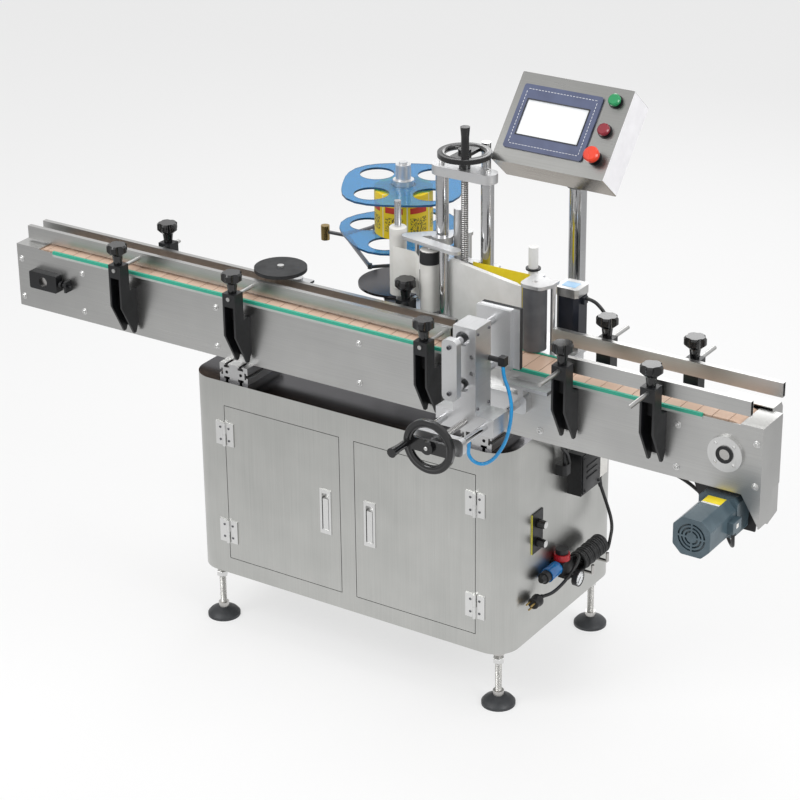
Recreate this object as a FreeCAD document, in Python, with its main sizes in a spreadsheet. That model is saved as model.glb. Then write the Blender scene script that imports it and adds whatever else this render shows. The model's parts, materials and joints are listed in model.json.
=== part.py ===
import FreeCAD, Part
import math
import os
import Sketcher

# Upright round-bottle labelling machine on a slat chain conveyor, millimetres, Z up.
# X runs along the conveyor towards the gearmotor, Y runs away from the operator,
# and the origin lies on the floor under the middle of the footprint.

SIZES = [
    ("line_y", -28.5, "conveyor centre line, from the middle of the footprint"),
    ("foot_high", 150, "floor to the cabinet's underside"),
    ("foot_inset", 42, "foot axis from the cabinet's faces"),
    ("foot_pad", 80, "foot pad diameter"),
    ("foot_stem", 16, "foot stem diameter"),
    ("cabinet_wide", 873, "cabinet along the conveyor"),
    ("cabinet_deep", 518, "cabinet front to back"),
    ("cabinet_high", 510, "cabinet height with its top"),
    ("cabinet_corner", 60, "radius of the upright corners"),
    ("cabinet_shift", -25.5, "cabinet middle from the conveyor's middle"),
    ("cabinet_front", 81, "conveyor centre line to the cabinet's front"),
    ("wall", 3, "cabinet sheet"),
    ("top_thick", 4, "cabinet top plate"),
    ("door_wide", 324, "door leaf width"),
    ("door_high", 403, "door leaf height"),
    ("door_low", 44, "cabinet underside to the door"),
    ("door_thick", 18, "folded door thickness"),
    ("door_gap", 1.5, "joint round a door"),
    ("pillar", 43, "post between the doors"),
    ("door_shift", 11, "door pair from the cabinet's middle"),
    ("hinge_high", 60, "hinge leaf height"),
    ("hinge_inset", 42, "hinge from the door's end"),
    ("leaf_wide", 20, "hinge leaf width"),
    ("knuckle", 9, "hinge knuckle diameter"),
    ("handle_wide", 31, "flush handle width"),
    ("handle_high", 115, "flush handle height"),
    ("handle_inset", 40, "flush handle axis from the door's free edge"),
    ("riser_high", 43, "extrusion between cabinet and conveyor"),
    ("riser_wide", 80, "extrusion width"),
    ("riser_inset", 86, "first extrusion from the cabinet's left side"),
    ("riser_span", 663, "pitch of the two extrusions"),
    ("riser_long", 142, "extrusion length"),
    ("slot_mouth", 8, "mouth of an extrusion slot"),
    ("conveyor_long", 2006, "conveyor length over its covers"),
    ("conveyor_wide", 92, "over the side plates"),
    ("side_high", 161, "side plate bottom to the belt surface"),
    ("side_thick", 3, "side plate"),
    ("strip_high", 5, "wear strip over the plate's edge"),
    ("chain_wide", 82.6, "slat width"),
    ("slat_pitch", 38.1, "slat pitch"),
    ("slat_thick", 5, "slat thickness"),
    ("slat_joint", 1.4, "joint between slats"),
    ("chain_radius", 75, "slat surface round a shaft"),
    ("infeed_inset", 95, "idler shaft from the left end"),
    ("outfeed_inset", 82, "drive shaft from the right end"),
    ("shaft_dia", 25, "drive and idler shaft"),
    ("sprocket_wide", 12, "sprocket thickness"),
    ("tie_dia", 12, "cross tie diameter"),
    ("flange_dia", 80, "drive bearing flange"),
    ("takeup_long", 84, "take-up block length"),
    ("takeup_high", 44, "take-up block height"),
    ("takeup_deep", 22, "take-up block depth"),
    ("cover_thick", 3, "end cover sheet"),
    ("cover_leg", 71, "end cover's leg below the side plates"),
    ("leg_deep", 57.5, "end cover's leg front to back"),
    ("outfeed_lid", 52, "lid over the drive end"),
    ("infeed_lid", 72, "lid over the idler end"),
    ("bracket_wide", 35, "rail bracket width"),
    ("bracket_high", 182, "rail bracket height"),
    ("bracket_out", 58, "rail bracket's reach from the side plate"),
    ("column_deep", 32, "bracket's upright front to back"),
    ("bracket_wall", 5, "bracket wall"),
    ("clip_high", 32, "clip block at the bracket's top"),
    ("rod_drop", 11.5, "rail rod below the bracket's top"),
    ("rod_dia", 10, "rail rod"),
    ("low_rail_rise", 33, "top of the infeed brackets over the belt"),
    ("high_rail_rise", 57, "top of the outfeed brackets over the belt"),
    ("rail_high", 33, "guide rail height"),
    ("rail_thick", 12, "guide rail thickness"),
    ("rail_wall", 1.5, "guide rail wall"),
    ("lane_infeed", 33, "clear width between the infeed rails"),
    ("lane_offset", 14.5, "infeed lane behind the centre line"),
    ("lane_outfeed", 106, "clear width between the outfeed rails"),
    ("knob_dia", 50, "star knob over its lobes"),
    ("knob_high", 50, "star knob height"),
    ("fit", 0.05, "radial clearance of a running fit"),
    ("station_inset", 14, "rubber roller axis from the cabinet's right side"),
    ("press_shift", 17, "press unit's axis from the roller's axis"),
    ("press_drop", 74, "guide rods of the press unit below the belt"),
    ("press_span", 100, "pitch of the press unit's guide rods"),
    ("press_rod", 16, "guide rod diameter"),
    ("press_reach", 262, "front plate of the press unit from the side plate"),
    ("press_plate_thick", 15, "front plate of the press unit"),
    ("block_wide", 144, "carriage base block width"),
    ("block_high", 42, "carriage base block height"),
    ("block_deep", 62, "carriage base block depth"),
    ("block_gap", 98, "carriage back from the side plate"),
    ("cylinder_wide", 56, "upright cylinder block width"),
    ("cylinder_high", 199, "upright cylinder block height"),
    ("piston_rod", 18, "press rods"),
    ("piston_span", 106, "pitch of the press rods"),
    ("pad_thick", 12, "press pad"),
    ("pad_high", 140, "press plate height"),
    ("wheel_dia", 114, "handwheel over its rim"),
    ("rim_dia", 14, "handwheel rim section"),
    ("screw_dia", 14, "adjusting screw"),
    ("roller_dia", 54, "rubber roller"),
    ("roller_long", 148, "rubber roller length"),
    ("roller_back", 59, "rubber roller axis behind the centre line"),
    ("stand_thick", 8, "roller stand plates"),
    ("stepper_wide", 57, "stepper motor square"),
    ("stepper_high", 146, "stepper motor height"),
    ("post_dia", 30, "lift post diameter"),
    ("post_span", 119, "pitch of the lift posts"),
    ("post_shift", 247.5, "lift unit's middle from the roller's axis"),
    ("post_back", 169, "lift posts behind the centre line"),
    ("post_high", 525, "lift post height over the cabinet"),
    ("yoke_thick", 22, "plate over the lift posts"),
    ("slide_high", 149, "slide block on the lift posts"),
    ("slide_drop", 28, "slide block's underside below the belt"),
    ("deck_thick", 8, "label head deck"),
    ("link_rise", 163, "link plate over the belt"),
    ("peel_high", 138, "peel plate height"),
    ("peel_thick", 12, "peel plate thickness"),
    ("reel_dia", 286, "reel disc across its flats"),
    ("window_dia", 82, "window in a reel disc"),
    ("window_reach", 97, "window from the reel's axis"),
    ("reel_thick", 5, "reel disc thickness"),
    ("reel_rise", 92, "lower reel disc over the belt"),
    ("reel_gap", 110, "gap between the reel discs"),
    ("reel_shift", 256.5, "reel axis from the lift unit's middle"),
    ("reel_back", 142.3, "reel axis behind the lift posts"),
    ("label_roll", 138, "label roll diameter"),
    ("spindle_dia", 20, "reel spindle"),
    ("idle_roller", 40, "large guide roller"),
    ("band_roller", 46, "banded roller"),
    ("disc_dia", 182, "rewind disc"),
    ("separator_shift", 683, "separating wheel from the rubber roller"),
    ("wheel_turn_thick", 11, "separating wheel thickness"),
    ("pole_dia", 40, "panel pole"),
    ("pole_inset", 64, "panel pole from the cabinet's right side"),
    ("pole_back", 334, "panel pole behind the centre line"),
    ("pole_high", 515, "panel pole height"),
    ("panel_wide", 284, "control box width"),
    ("panel_high", 218, "control box face height"),
    ("panel_deep", 87, "control box depth"),
    ("panel_wall", 2, "control box sheet"),
    ("panel_tilt", 40.8, "tilt of the control box's face, degrees"),
    ("button_dia", 22, "push button"),
    ("stop_dia", 36, "mushroom button"),
    ("motor_square", 90, "gearmotor frame"),
    ("motor_long", 125, "motor length in front of its gearbox"),
    ("gearbox_long", 52, "gearbox length"),
    ("motor_drop", 60, "motor axis below the side plates"),
    ("guard_deep", 46, "drive guard depth"),
    ("dial_dia", 22, "speed knob"),
]


class Size:
    """A length that carries its number and the sheet formula that gives it."""

    def __init__(self, number, formula):
        self.number = float(number)
        self.formula = formula

    def __float__(self):
        return self.number

    def __add__(self, other):
        return Size(self.number + float(other), f"({self.formula} + {formula(other)})")

    def __sub__(self, other):
        return Size(self.number - float(other), f"({self.formula} - {formula(other)})")

    def __mul__(self, other):
        return Size(self.number * float(other), f"({self.formula} * {formula(other)})")

    def __truediv__(self, other):
        return Size(self.number / float(other), f"({self.formula} / {formula(other)})")

    def __neg__(self):
        return Size(-self.number, f"(0 - {self.formula})")

    def __radd__(self, other):
        return Size(float(other), formula(other)) + self

    def __rsub__(self, other):
        return Size(float(other), formula(other)) - self

    def __rmul__(self, other):
        return self * other


def formula(value):
    """The sheet formula of a size, or a plain number as text."""
    if isinstance(value, Size):
        return value.formula
    number = float(value)
    return f"{number:.6f}" if number >= 0 else f"(0 - {-number:.6f})"


class Named:
    """Every named size, as attributes."""


doc = FreeCAD.newDocument("labelling_machine")
sheet = doc.addObject("Spreadsheet::Sheet", "sizes")
s = Named()
for row, (alias, value, note) in enumerate(SIZES, start=1):
    sheet.set(f"A{row}", note)
    sheet.set(f"B{row}", str(value))
    sheet.setAlias(f"B{row}", alias)
    setattr(s, alias, Size(value, f"sizes.{alias}"))
doc.recompute()

Vector = FreeCAD.Vector
Rotation = FreeCAD.Rotation
TURN = {"z": Rotation(), "x": Rotation(Vector(0, 1, 0), 90), "y": Rotation(Vector(1, 0, 0), -90)}
nodes = {}


def bind(obj, prop, value):
    """Give a property its number, and its formula where it has one."""
    if isinstance(value, Size):
        obj.setExpression(prop, value.formula)
    else:
        setattr(obj, prop, float(value))


def put(obj, x, y, z, rotation=Rotation()):
    """Place an object at sizes x, y, z."""
    obj.Placement = FreeCAD.Placement(Vector(float(x), float(y), float(z)), rotation)
    for letter, value in (("x", x), ("y", y), ("z", z)):
        if isinstance(value, Size):
            obj.setExpression(f"Placement.Base.{letter}", value.formula)
    return obj


def block(x0, x1, y0, y1, z0, z1):
    """A box between three pairs of planes."""
    obj = doc.addObject("Part::Box", "block")
    bind(obj, "Length", x1 - x0)
    bind(obj, "Width", y1 - y0)
    bind(obj, "Height", z1 - z0)
    return put(obj, x0, y0, z0)


def round_bar(axis, diameter, start, end, across, up):
    """A cylinder along an axis from start to end; across and up are its other two coordinates."""
    obj = doc.addObject("Part::Cylinder", "round_bar")
    bind(obj, "Radius", diameter / 2)
    bind(obj, "Height", end - start)
    spot = {"x": (start, across, up), "y": (across, start, up), "z": (across, up, start)}[axis]
    return put(obj, *spot, TURN[axis])


def cone(axis, dia_start, dia_end, start, end, across, up):
    """A truncated cone along an axis."""
    obj = doc.addObject("Part::Cone", "cone")
    bind(obj, "Radius1", dia_start / 2)
    bind(obj, "Radius2", dia_end / 2)
    bind(obj, "Height", end - start)
    spot = {"x": (start, across, up), "y": (across, start, up), "z": (across, up, start)}[axis]
    return put(obj, *spot, TURN[axis])


def ring(axis, diameter, section, x, y, z):
    """A torus whose axis is given; diameter is taken over its rim."""
    obj = doc.addObject("Part::Torus", "ring")
    bind(obj, "Radius1", (diameter - section) / 2)
    bind(obj, "Radius2", section / 2)
    return put(obj, x, y, z, TURN[axis])


def merged(*parts):
    """One solid of several."""
    obj = doc.addObject("Part::MultiFuse", "merged")
    obj.Shapes = list(parts)
    obj.Refine = True
    return obj


def collected(*parts):
    """Several solids kept apart."""
    obj = doc.addObject("Part::Compound", "collected")
    obj.Links = list(parts)
    return obj


def less(base, *tools):
    """A solid with others taken out of it."""
    obj = doc.addObject("Part::Cut", "less")
    obj.Base = base
    obj.Tool = tools[0] if len(tools) == 1 else collected(*tools)
    return obj


def prism(plane, outline, start, end, holes=(), rounds=()):
    """A padded sketch: outline points on a plane, round holes, rounded corners by point number."""
    body = doc.addObject("PartDesign::Body", "prism")
    sketch = body.newObject("Sketcher::SketchObject", "outline")
    base = next(f for f in body.Origin.OriginFeatures if f.Role == f"{plane}_Plane")
    sketch.AttachmentSupport = [(base, "")]
    sketch.MapMode = "FlatFace"
    offset = -end if plane == "XZ" else start
    sketch.AttachmentOffset = FreeCAD.Placement(Vector(0, 0, float(offset)), Rotation())
    if isinstance(offset, Size):
        sketch.setExpression("AttachmentOffset.Base.z", offset.formula)
    count = len(outline)
    spots = [Vector(float(u), float(v), 0) for u, v in outline]
    for i in range(count):
        sketch.addGeometry(Part.LineSegment(spots[i], spots[(i + 1) % count]))
    for i in range(count):
        sketch.addConstraint(Sketcher.Constraint("Coincident", i, 2, (i + 1) % count, 1))
        fix_point(sketch, i, 1, outline[i])
    for u, v, diameter in holes:
        centre = Vector(float(u), float(v), 0)
        index = sketch.addGeometry(Part.Circle(centre, Vector(0, 0, 1), float(diameter) / 2))
        fix_point(sketch, index, 3, (u, v))
        constraint = sketch.addConstraint(Sketcher.Constraint("Radius", index, float(diameter) / 2))
        if isinstance(diameter, Size):
            sketch.setExpression(f"Constraints[{constraint}]", (diameter / 2).formula)
    pad = body.newObject("PartDesign::Pad", "pad")
    pad.Profile = sketch
    bind(pad, "Length", end - start)
    last = pad
    for radius, corners in rounds:
        doc.recompute()
        last = round_corners(body, last, plane, [spots[i] for i in corners], radius)
    return body


def fix_point(sketch, geometry, point, place):
    """Tie a sketch point to the origin by its two distances."""
    for kind, value in zip(("DistanceX", "DistanceY"), place):
        constraint = sketch.addConstraint(Sketcher.Constraint(kind, -1, 1, geometry, point, float(value)))
        if isinstance(value, Size):
            sketch.setExpression(f"Constraints[{constraint}]", value.formula)


def round_corners(body, feature, plane, corners, radius):
    """Fillet the edges that run through the given outline corners."""
    names = []
    for number, edge in enumerate(feature.Shape.Edges, start=1):
        ends = [flat(plane, vertex.Point) for vertex in edge.Vertexes]
        if len(ends) == 2 and any(near(ends[0], c) and near(ends[1], c) for c in corners):
            names.append(f"Edge{number}")
    fillet = body.newObject("PartDesign::Fillet", "rounds")
    fillet.Base = (feature, names)
    bind(fillet, "Radius", radius)
    doc.recompute()
    return fillet


def flat(plane, point):
    """A point's two coordinates on a sketch plane."""
    return {"XY": (point.x, point.y), "XZ": (point.x, point.z), "YZ": (point.y, point.z)}[plane]


def near(place, corner):
    """Whether a flat place lies on an outline corner."""
    return abs(place[0] - corner.x) < 0.01 and abs(place[1] - corner.y) < 0.01


def turned(profile, x, y, z, axis="z"):
    """A revolved sketch: profile points are (radius, height) about an axis through x, y, z."""
    body = doc.addObject("PartDesign::Body", "turned")
    sketch = body.newObject("Sketcher::SketchObject", "profile")
    base = next(f for f in body.Origin.OriginFeatures if f.Role == "XZ_Plane")
    sketch.AttachmentSupport = [(base, "")]
    sketch.MapMode = "FlatFace"
    count = len(profile)
    spots = [Vector(float(u), float(v), 0) for u, v in profile]
    for i in range(count):
        sketch.addGeometry(Part.LineSegment(spots[i], spots[(i + 1) % count]))
    for i in range(count):
        sketch.addConstraint(Sketcher.Constraint("Coincident", i, 2, (i + 1) % count, 1))
        fix_point(sketch, i, 1, profile[i])
    revolution = body.newObject("PartDesign::Revolution", "revolution")
    revolution.Profile = sketch
    revolution.ReferenceAxis = (sketch, ["V_Axis"])
    revolution.Angle = 360
    return put(body, x, y, z, TURN[axis])


def node(name, obj):
    """Label a finished sub-part."""
    obj.Label = name
    nodes[name] = obj
    return obj


def shaped(shape):
    """A sub-part whose shape is worked out in this file."""
    obj = doc.addObject("Part::Feature", "shaped")
    obj.Shape = shape
    return obj


def turned_path(points):
    """Straight runs joined by tangent arcs, and the arcs' radii."""
    runs = [(b - a).Length for a, b in zip(points, points[1:])]
    edges = []
    radii = []
    spot = points[0]
    for i in range(1, len(points) - 1):
        back = (points[i - 1] - points[i]).normalize()
        ahead = (points[i + 1] - points[i]).normalize()
        turn = math.pi - back.getAngle(ahead)
        cut = 0.45 * min(runs[i - 1], runs[i])
        radius = cut / math.tan(turn / 2)
        radii.append(radius)
        start = points[i] + back * cut
        end = points[i] + ahead * cut
        middle_way = (back + ahead).normalize()
        middle = points[i] + middle_way * (radius / math.cos(turn / 2) - radius)
        edges.append(Part.LineSegment(spot, start).toShape())
        edges.append(Part.Arc(start, middle, end).toShape())
        spot = end
    edges.append(Part.LineSegment(spot, points[-1]).toShape())
    return Part.Wire(edges), radii


def tube(name, places, diameter):
    """A cable or hose along chosen points; prints its radii and compares its volume."""
    points = [Vector(x, y + float(line), z) for x, y, z in places]
    path, radii = turned_path(points)
    way = (points[1] - points[0]).normalize()
    section = Part.Wire(Part.Circle(points[0], way, diameter / 2).toShape())
    solid = path.makePipeShell([section], True, False)
    want = math.pi * diameter ** 2 / 4 * path.Length
    print(f"{name}: {path.Length:.0f} long, volume ratio {solid.Volume / want:.4f}, radii",
          [round(r) for r in radii])
    return solid


# Levels and lines that the sub-parts share
line = s.line_y
cabinet_left = s.cabinet_shift - s.cabinet_wide / 2
cabinet_right = s.cabinet_shift + s.cabinet_wide / 2
cabinet_front = line - s.cabinet_front
cabinet_rear = cabinet_front + s.cabinet_deep
cabinet_top = s.foot_high + s.cabinet_high
side_low = cabinet_top + s.riser_high
belt = side_low + s.side_high
side_top = belt - s.cover_thick
conveyor_left = -(s.conveyor_long / 2)
conveyor_right = s.conveyor_long / 2
front_face = line - s.conveyor_wide / 2
rear_face = line + s.conveyor_wide / 2
shaft_z = belt - s.chain_radius
idler_x = conveyor_left + s.infeed_inset
drive_x = conveyor_right - s.outfeed_inset
station_x = cabinet_right - s.station_inset


# Levelling feet: rubber pads, threaded stems with lock nuts
def feet():
    pads = []
    stems = []
    for x in (cabinet_left + s.foot_inset, cabinet_right - s.foot_inset):
        for y in (cabinet_front + s.foot_inset, cabinet_rear - s.foot_inset):
            rim = s.foot_pad / 2
            crown = s.foot_stem * 0.9
            pads.append(turned([(0, 0), (rim, 0), (rim, 7), (rim * 0.85, 14), (crown, 24), (0, 24)], x, y, 0))
            stem = round_bar("z", s.foot_stem, 24, s.foot_high, x, y)
            low_nut = round_bar("z", s.foot_stem * 1.6, 24, 36, x, y)
            top_nut = round_bar("z", s.foot_stem * 1.9, s.foot_high - 16, s.foot_high, x, y)
            stems.append(merged(stem, low_nut, top_nut))
    node("foot_pads", collected(*pads))
    node("foot_stems", collected(*stems))


feet()


# Cabinet: folded shell with rounded upright corners and two door bays
def box_outline(x0, x1, y0, y1):
    return [(x0, y0), (x1, y0), (x1, y1), (x0, y1)]


door_mid = s.cabinet_shift + s.door_shift
door_bottom = s.foot_high + s.door_low
door_top = door_bottom + s.door_high
doors = {
    "left": (door_mid - s.pillar / 2 - s.door_wide, door_mid - s.pillar / 2),
    "right": (door_mid + s.pillar / 2, door_mid + s.pillar / 2 + s.door_wide),
}
hinge_levels = (door_bottom + s.hinge_inset, door_top - s.hinge_inset - s.hinge_high)
hinge_y = cabinet_front - s.knuckle / 2
LEAF_THICK = 2.5
LEAF_CLEAR = 5.5


def hinge_half(axis_x, way, z0, z1, full_z0, full_z1):
    """A leaf on the face beside a hinge axis, with its share of the knuckle between z0 and z1."""
    near_x = axis_x + way * LEAF_CLEAR
    far_x = axis_x + way * (s.leaf_wide + LEAF_CLEAR)
    x0, x1 = (near_x, far_x) if way > 0 else (far_x, near_x)
    leaf = block(x0, x1, cabinet_front - LEAF_THICK, cabinet_front, full_z0, full_z1)
    x0, x1 = (axis_x, near_x) if way > 0 else (near_x, axis_x)
    bridge = block(x0, x1, cabinet_front - LEAF_THICK, cabinet_front, z0, z1)
    barrel = round_bar("z", s.knuckle - 0.2, z0, z1, axis_x, hinge_y)
    return [leaf, bridge, barrel]


def cabinet():
    shell_top = cabinet_top - s.top_thick
    outer = prism("XY", box_outline(cabinet_left, cabinet_right, cabinet_front, cabinet_rear),
                  s.foot_high, shell_top, rounds=[(s.cabinet_corner, (0, 1, 2, 3))])
    inner = prism("XY", box_outline(cabinet_left + s.wall, cabinet_right - s.wall,
                                    cabinet_front + s.wall, cabinet_rear - s.wall),
                  s.foot_high + s.wall, shell_top, rounds=[(s.cabinet_corner - s.wall, (0, 1, 2, 3))])
    bays = []
    leaves = []
    for side, (x0, x1) in doors.items():
        bays.append(block(x0 - s.door_gap, x1 + s.door_gap, cabinet_front - 1, cabinet_front + s.wall + 1,
                          door_bottom - s.door_gap, door_top + s.door_gap))
        axis_x = x0 - s.door_gap / 2 if side == "left" else x1 + s.door_gap / 2
        way = -1 if side == "left" else 1
        for z in hinge_levels:
            leaves += hinge_half(axis_x, way, z, z + s.hinge_high / 2 - 0.3, z, z + s.hinge_high)
    lid = prism("XY", box_outline(cabinet_left, cabinet_right, cabinet_front, cabinet_rear),
                shell_top, cabinet_top, rounds=[(s.cabinet_corner, (0, 1, 2, 3))])
    node("cabinet_shell", collected(merged(less(outer, inner, *bays), *leaves), lid))


cabinet()


def door(side):
    """A folded door leaf with a flush pull and its hinge halves."""
    x0, x1 = doors[side]
    leaf = block(x0, x1, cabinet_front, cabinet_front + s.door_thick, door_bottom, door_top)
    hollow = block(x0 + s.wall, x1 - s.wall, cabinet_front + s.wall, cabinet_front + s.door_thick + 1,
                   door_bottom + s.wall, door_top - s.wall)
    axis_x = x0 - s.door_gap / 2 if side == "left" else x1 + s.door_gap / 2
    way = 1 if side == "left" else -1
    halves = []
    for z in hinge_levels:
        halves += hinge_half(axis_x, way, z + s.hinge_high / 2, z + s.hinge_high, z, z + s.hinge_high)
    pull_x = x1 - s.handle_inset if side == "left" else x0 + s.handle_inset
    mid_z = (door_bottom + door_top) / 2
    half = s.handle_high / 2
    frame = block(pull_x - s.handle_wide / 2, pull_x + s.handle_wide / 2,
                  cabinet_front - 2, cabinet_front + s.wall + 8, mid_z - half, mid_z + half)
    recess = block(pull_x - s.handle_wide / 2 + 6, pull_x + s.handle_wide / 2 - 6,
                   cabinet_front - 3, cabinet_front + s.wall + 6, mid_z - half + 10, mid_z + half - 10)
    paddle = block(pull_x - s.handle_wide / 2 + 8, pull_x + s.handle_wide / 2 - 8,
                   cabinet_front - 1, cabinet_front + s.wall + 7, mid_z - half + 10, mid_z + half - 24)
    node(f"{side}_door", merged(less(merged(less(leaf, hollow), frame), recess), paddle, *halves))


for side in doors:
    door(side)


# Extrusions between the cabinet top and the conveyor
def riser(x0):
    x1 = x0 + s.riser_wide
    y0 = line - s.riser_long / 2
    y1 = line + s.riser_long / 2
    bar = block(x0, x1, y0, y1, cabinet_top, side_low)
    cuts = []
    for share in (0.25, 0.75):
        x = x0 + s.riser_wide * share
        mid_z = (cabinet_top + side_low) / 2
        cuts.append(round_bar("y", s.slot_mouth, y0 - 1, y1 + 1, x, mid_z))
        for low, way in ((cabinet_top, 1), (side_low, -1)):
            lips = sorted((low - way, low + way * 5), key=float)
            room = sorted((low + way * 4, low + way * 10), key=float)
            cuts.append(block(x - s.slot_mouth / 2, x + s.slot_mouth / 2, y0 - 1, y1 + 1, *lips))
            cuts.append(block(x - s.slot_mouth, x + s.slot_mouth, y0 - 1, y1 + 1, *room))
    for edge, way in ((x0, 1), (x1, -1)):
        mid_z = (cabinet_top + side_low) / 2
        lips = sorted((edge - way, edge + way * 5), key=float)
        room = sorted((edge + way * 4, edge + way * 9), key=float)
        cuts.append(block(*lips, y0 - 1, y1 + 1, mid_z - s.slot_mouth / 2, mid_z + s.slot_mouth / 2))
        cuts.append(block(*room, y0 - 1, y1 + 1, mid_z - s.slot_mouth, mid_z + s.slot_mouth))
    return less(bar, *cuts)


first_riser = cabinet_left + s.riser_inset
node("risers", collected(riser(first_riser), riser(first_riser + s.riser_span)))


# Conveyor frame: side plates, cross ties, wear strips and end covers
plate_left = conveyor_left + s.cover_thick
plate_right = conveyor_right - s.cover_thick
shaft_hole = s.shaft_dia + 12
plates = []
for y0 in (front_face, rear_face - s.side_thick):
    plates.append(less(block(plate_left, plate_right, y0, y0 + s.side_thick, side_low, side_top),
                       round_bar("y", shaft_hole, y0 - 1, y0 + s.side_thick + 1, drive_x, shaft_z),
                       round_bar("y", shaft_hole, y0 - 1, y0 + s.side_thick + 1, idler_x, shaft_z)))
tie_places = [conveyor_left + 203, conveyor_left + 603, station_x - 395, station_x + 77, conveyor_right - 196]
tie_levels = (belt - 38, side_low + 26)
ties = []
for x in tie_places:
    for z in tie_levels:
        ties.append(round_bar("y", s.tie_dia, front_face + s.side_thick, rear_face - s.side_thick, x, z))
hanger = block(drive_x - 289, drive_x - 273, rear_face - 18, rear_face, side_low - 18.5, side_low)
node("conveyor_frame", collected(*plates, *ties, hanger))

strip_left = conveyor_left + 115
strip_right = conveyor_right - 140


def wear_strip(edge, way):
    """A strip that caps a side plate's top edge with a lip outside."""
    outer = edge + way * 2.5
    inner = edge - way * 4
    top = side_top + s.strip_high
    outline = [(inner, side_top), (edge, side_top), (edge, side_top - 8), (outer, side_top - 8), (outer, top), (inner, top)]
    return prism("YZ", outline, strip_left, strip_right)


node("wear_strips", collected(wear_strip(front_face, -1), wear_strip(rear_face, 1)))

infeed_end = merged(
    block(conveyor_left, plate_left, front_face, rear_face, side_low, belt),
    block(conveyor_left, conveyor_left + s.infeed_lid, front_face, rear_face, side_top, belt))
leg_low = side_low - s.cover_leg
outfeed_end = merged(
    block(plate_right, conveyor_right, front_face, rear_face, side_low, belt),
    block(conveyor_right - s.outfeed_lid, conveyor_right, front_face, rear_face, side_top, belt),
    block(plate_right, conveyor_right, front_face, front_face + s.leg_deep, leg_low, side_low),
    prism("XZ", [(conveyor_right - 44, side_low), (conveyor_right, leg_low), (conveyor_right, side_low)],
          front_face, front_face + 2))
node("end_covers", collected(infeed_end, outfeed_end))


# Slat chain: one closed band of slats round both shafts, jointed at every pitch
def chain():
    run = float(drive_x - idler_x)
    left = float(idler_x)
    right = float(drive_x)
    level = float(shaft_z)
    outer = float(s.chain_radius)
    inner = outer - float(s.slat_thick)
    wide = float(s.chain_wide)
    y0 = float(line) - wide / 2

    def loop(radius):
        a, b = Vector(left, y0, level + radius), Vector(right, y0, level + radius)
        c, d = Vector(right, y0, level - radius), Vector(left, y0, level - radius)
        edges = [Part.LineSegment(a, b), Part.Arc(b, Vector(right + radius, y0, level), c),
                 Part.LineSegment(c, d), Part.Arc(d, Vector(left - radius, y0, level), a)]
        wire = Part.Wire([edge.toShape() for edge in edges])
        return Part.Face(wire).extrude(Vector(0, wide, 0))

    joint = float(s.slat_joint)
    depth = float(s.slat_thick) * 0.4
    slats = round(run / float(s.slat_pitch))
    cuts = []
    for i in range(slats + 1):
        x = left + run * i / slats
        for z in (level + outer - depth, level - outer):
            cuts.append(Part.makeBox(joint, wide, depth, Vector(x - joint / 2, y0, z)))
    for x, way in ((right, 1), (left, -1)):
        for step in range(1, 6):
            cut = Part.makeBox(joint, wide, depth, Vector(-joint / 2, 0, outer - depth))
            cut.rotate(Vector(0, 0, 0), Vector(0, 1, 0), way * 30 * step)
            cut.translate(Vector(x, y0, level))
            cuts.append(cut)
    return loop(outer).cut(loop(inner)).cut(Part.makeCompound(cuts))


node("slat_chain", shaped(chain()))


# Shafts with their sprockets, and the bearings that carry them
def sprocket():
    """A toothed wheel in the XZ plane, its gullets set out round the shaft."""
    body = doc.addObject("PartDesign::Body", "sprocket")
    rim = s.chain_radius - s.slat_thick - 0.8
    sketch = body.newObject("Sketcher::SketchObject", "wheel")
    base = next(f for f in body.Origin.OriginFeatures if f.Role == "XY_Plane")
    sketch.AttachmentSupport = [(base, "")]
    sketch.MapMode = "FlatFace"
    sketch.addGeometry(Part.Circle(Vector(0, 0, 0), Vector(0, 0, 1), float(rim)))
    sketch.addConstraint(Sketcher.Constraint("Coincident", 0, 3, -1, 1))
    constraint = sketch.addConstraint(Sketcher.Constraint("Radius", 0, float(rim)))
    sketch.setExpression(f"Constraints[{constraint}]", rim.formula)
    pad = body.newObject("PartDesign::Pad", "disc")
    pad.Profile = sketch
    bind(pad, "Length", s.sprocket_wide)
    gullet = body.newObject("Sketcher::SketchObject", "gullet")
    gullet.AttachmentSupport = [(base, "")]
    gullet.MapMode = "FlatFace"
    gullet.addGeometry(Part.Circle(Vector(0, float(rim), 0), Vector(0, 0, 1), 7))
    fix_point(gullet, 0, 3, (0, rim))
    gullet.addConstraint(Sketcher.Constraint("Radius", 0, 7))
    pocket = body.newObject("PartDesign::Pocket", "gullets")
    pocket.Profile = gullet
    pocket.Type = 1
    pocket.Reversed = True
    doc.recompute()
    pattern = body.newObject("PartDesign::PolarPattern", "teeth")
    pattern.Originals = [pocket]
    pattern.Axis = (sketch, ["N_Axis"])
    pattern.Angle = 360
    pattern.Occurrences = 12
    body.Tip = pattern
    return body


def shaft(name, x, end):
    """A shaft through both side plates with two sprockets."""
    parts = [round_bar("y", s.shaft_dia, front_face - end, rear_face + end, x, shaft_z)]
    for share in (-0.25, 0.25):
        y0 = line + s.chain_wide * share - s.sprocket_wide / 2
        parts.append(put(sprocket(), x, y0, shaft_z, TURN["y"]))
    node(name, merged(*parts))


shaft("drive_shaft", drive_x, 9)
shaft("idler_shaft", idler_x, 15)


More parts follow.
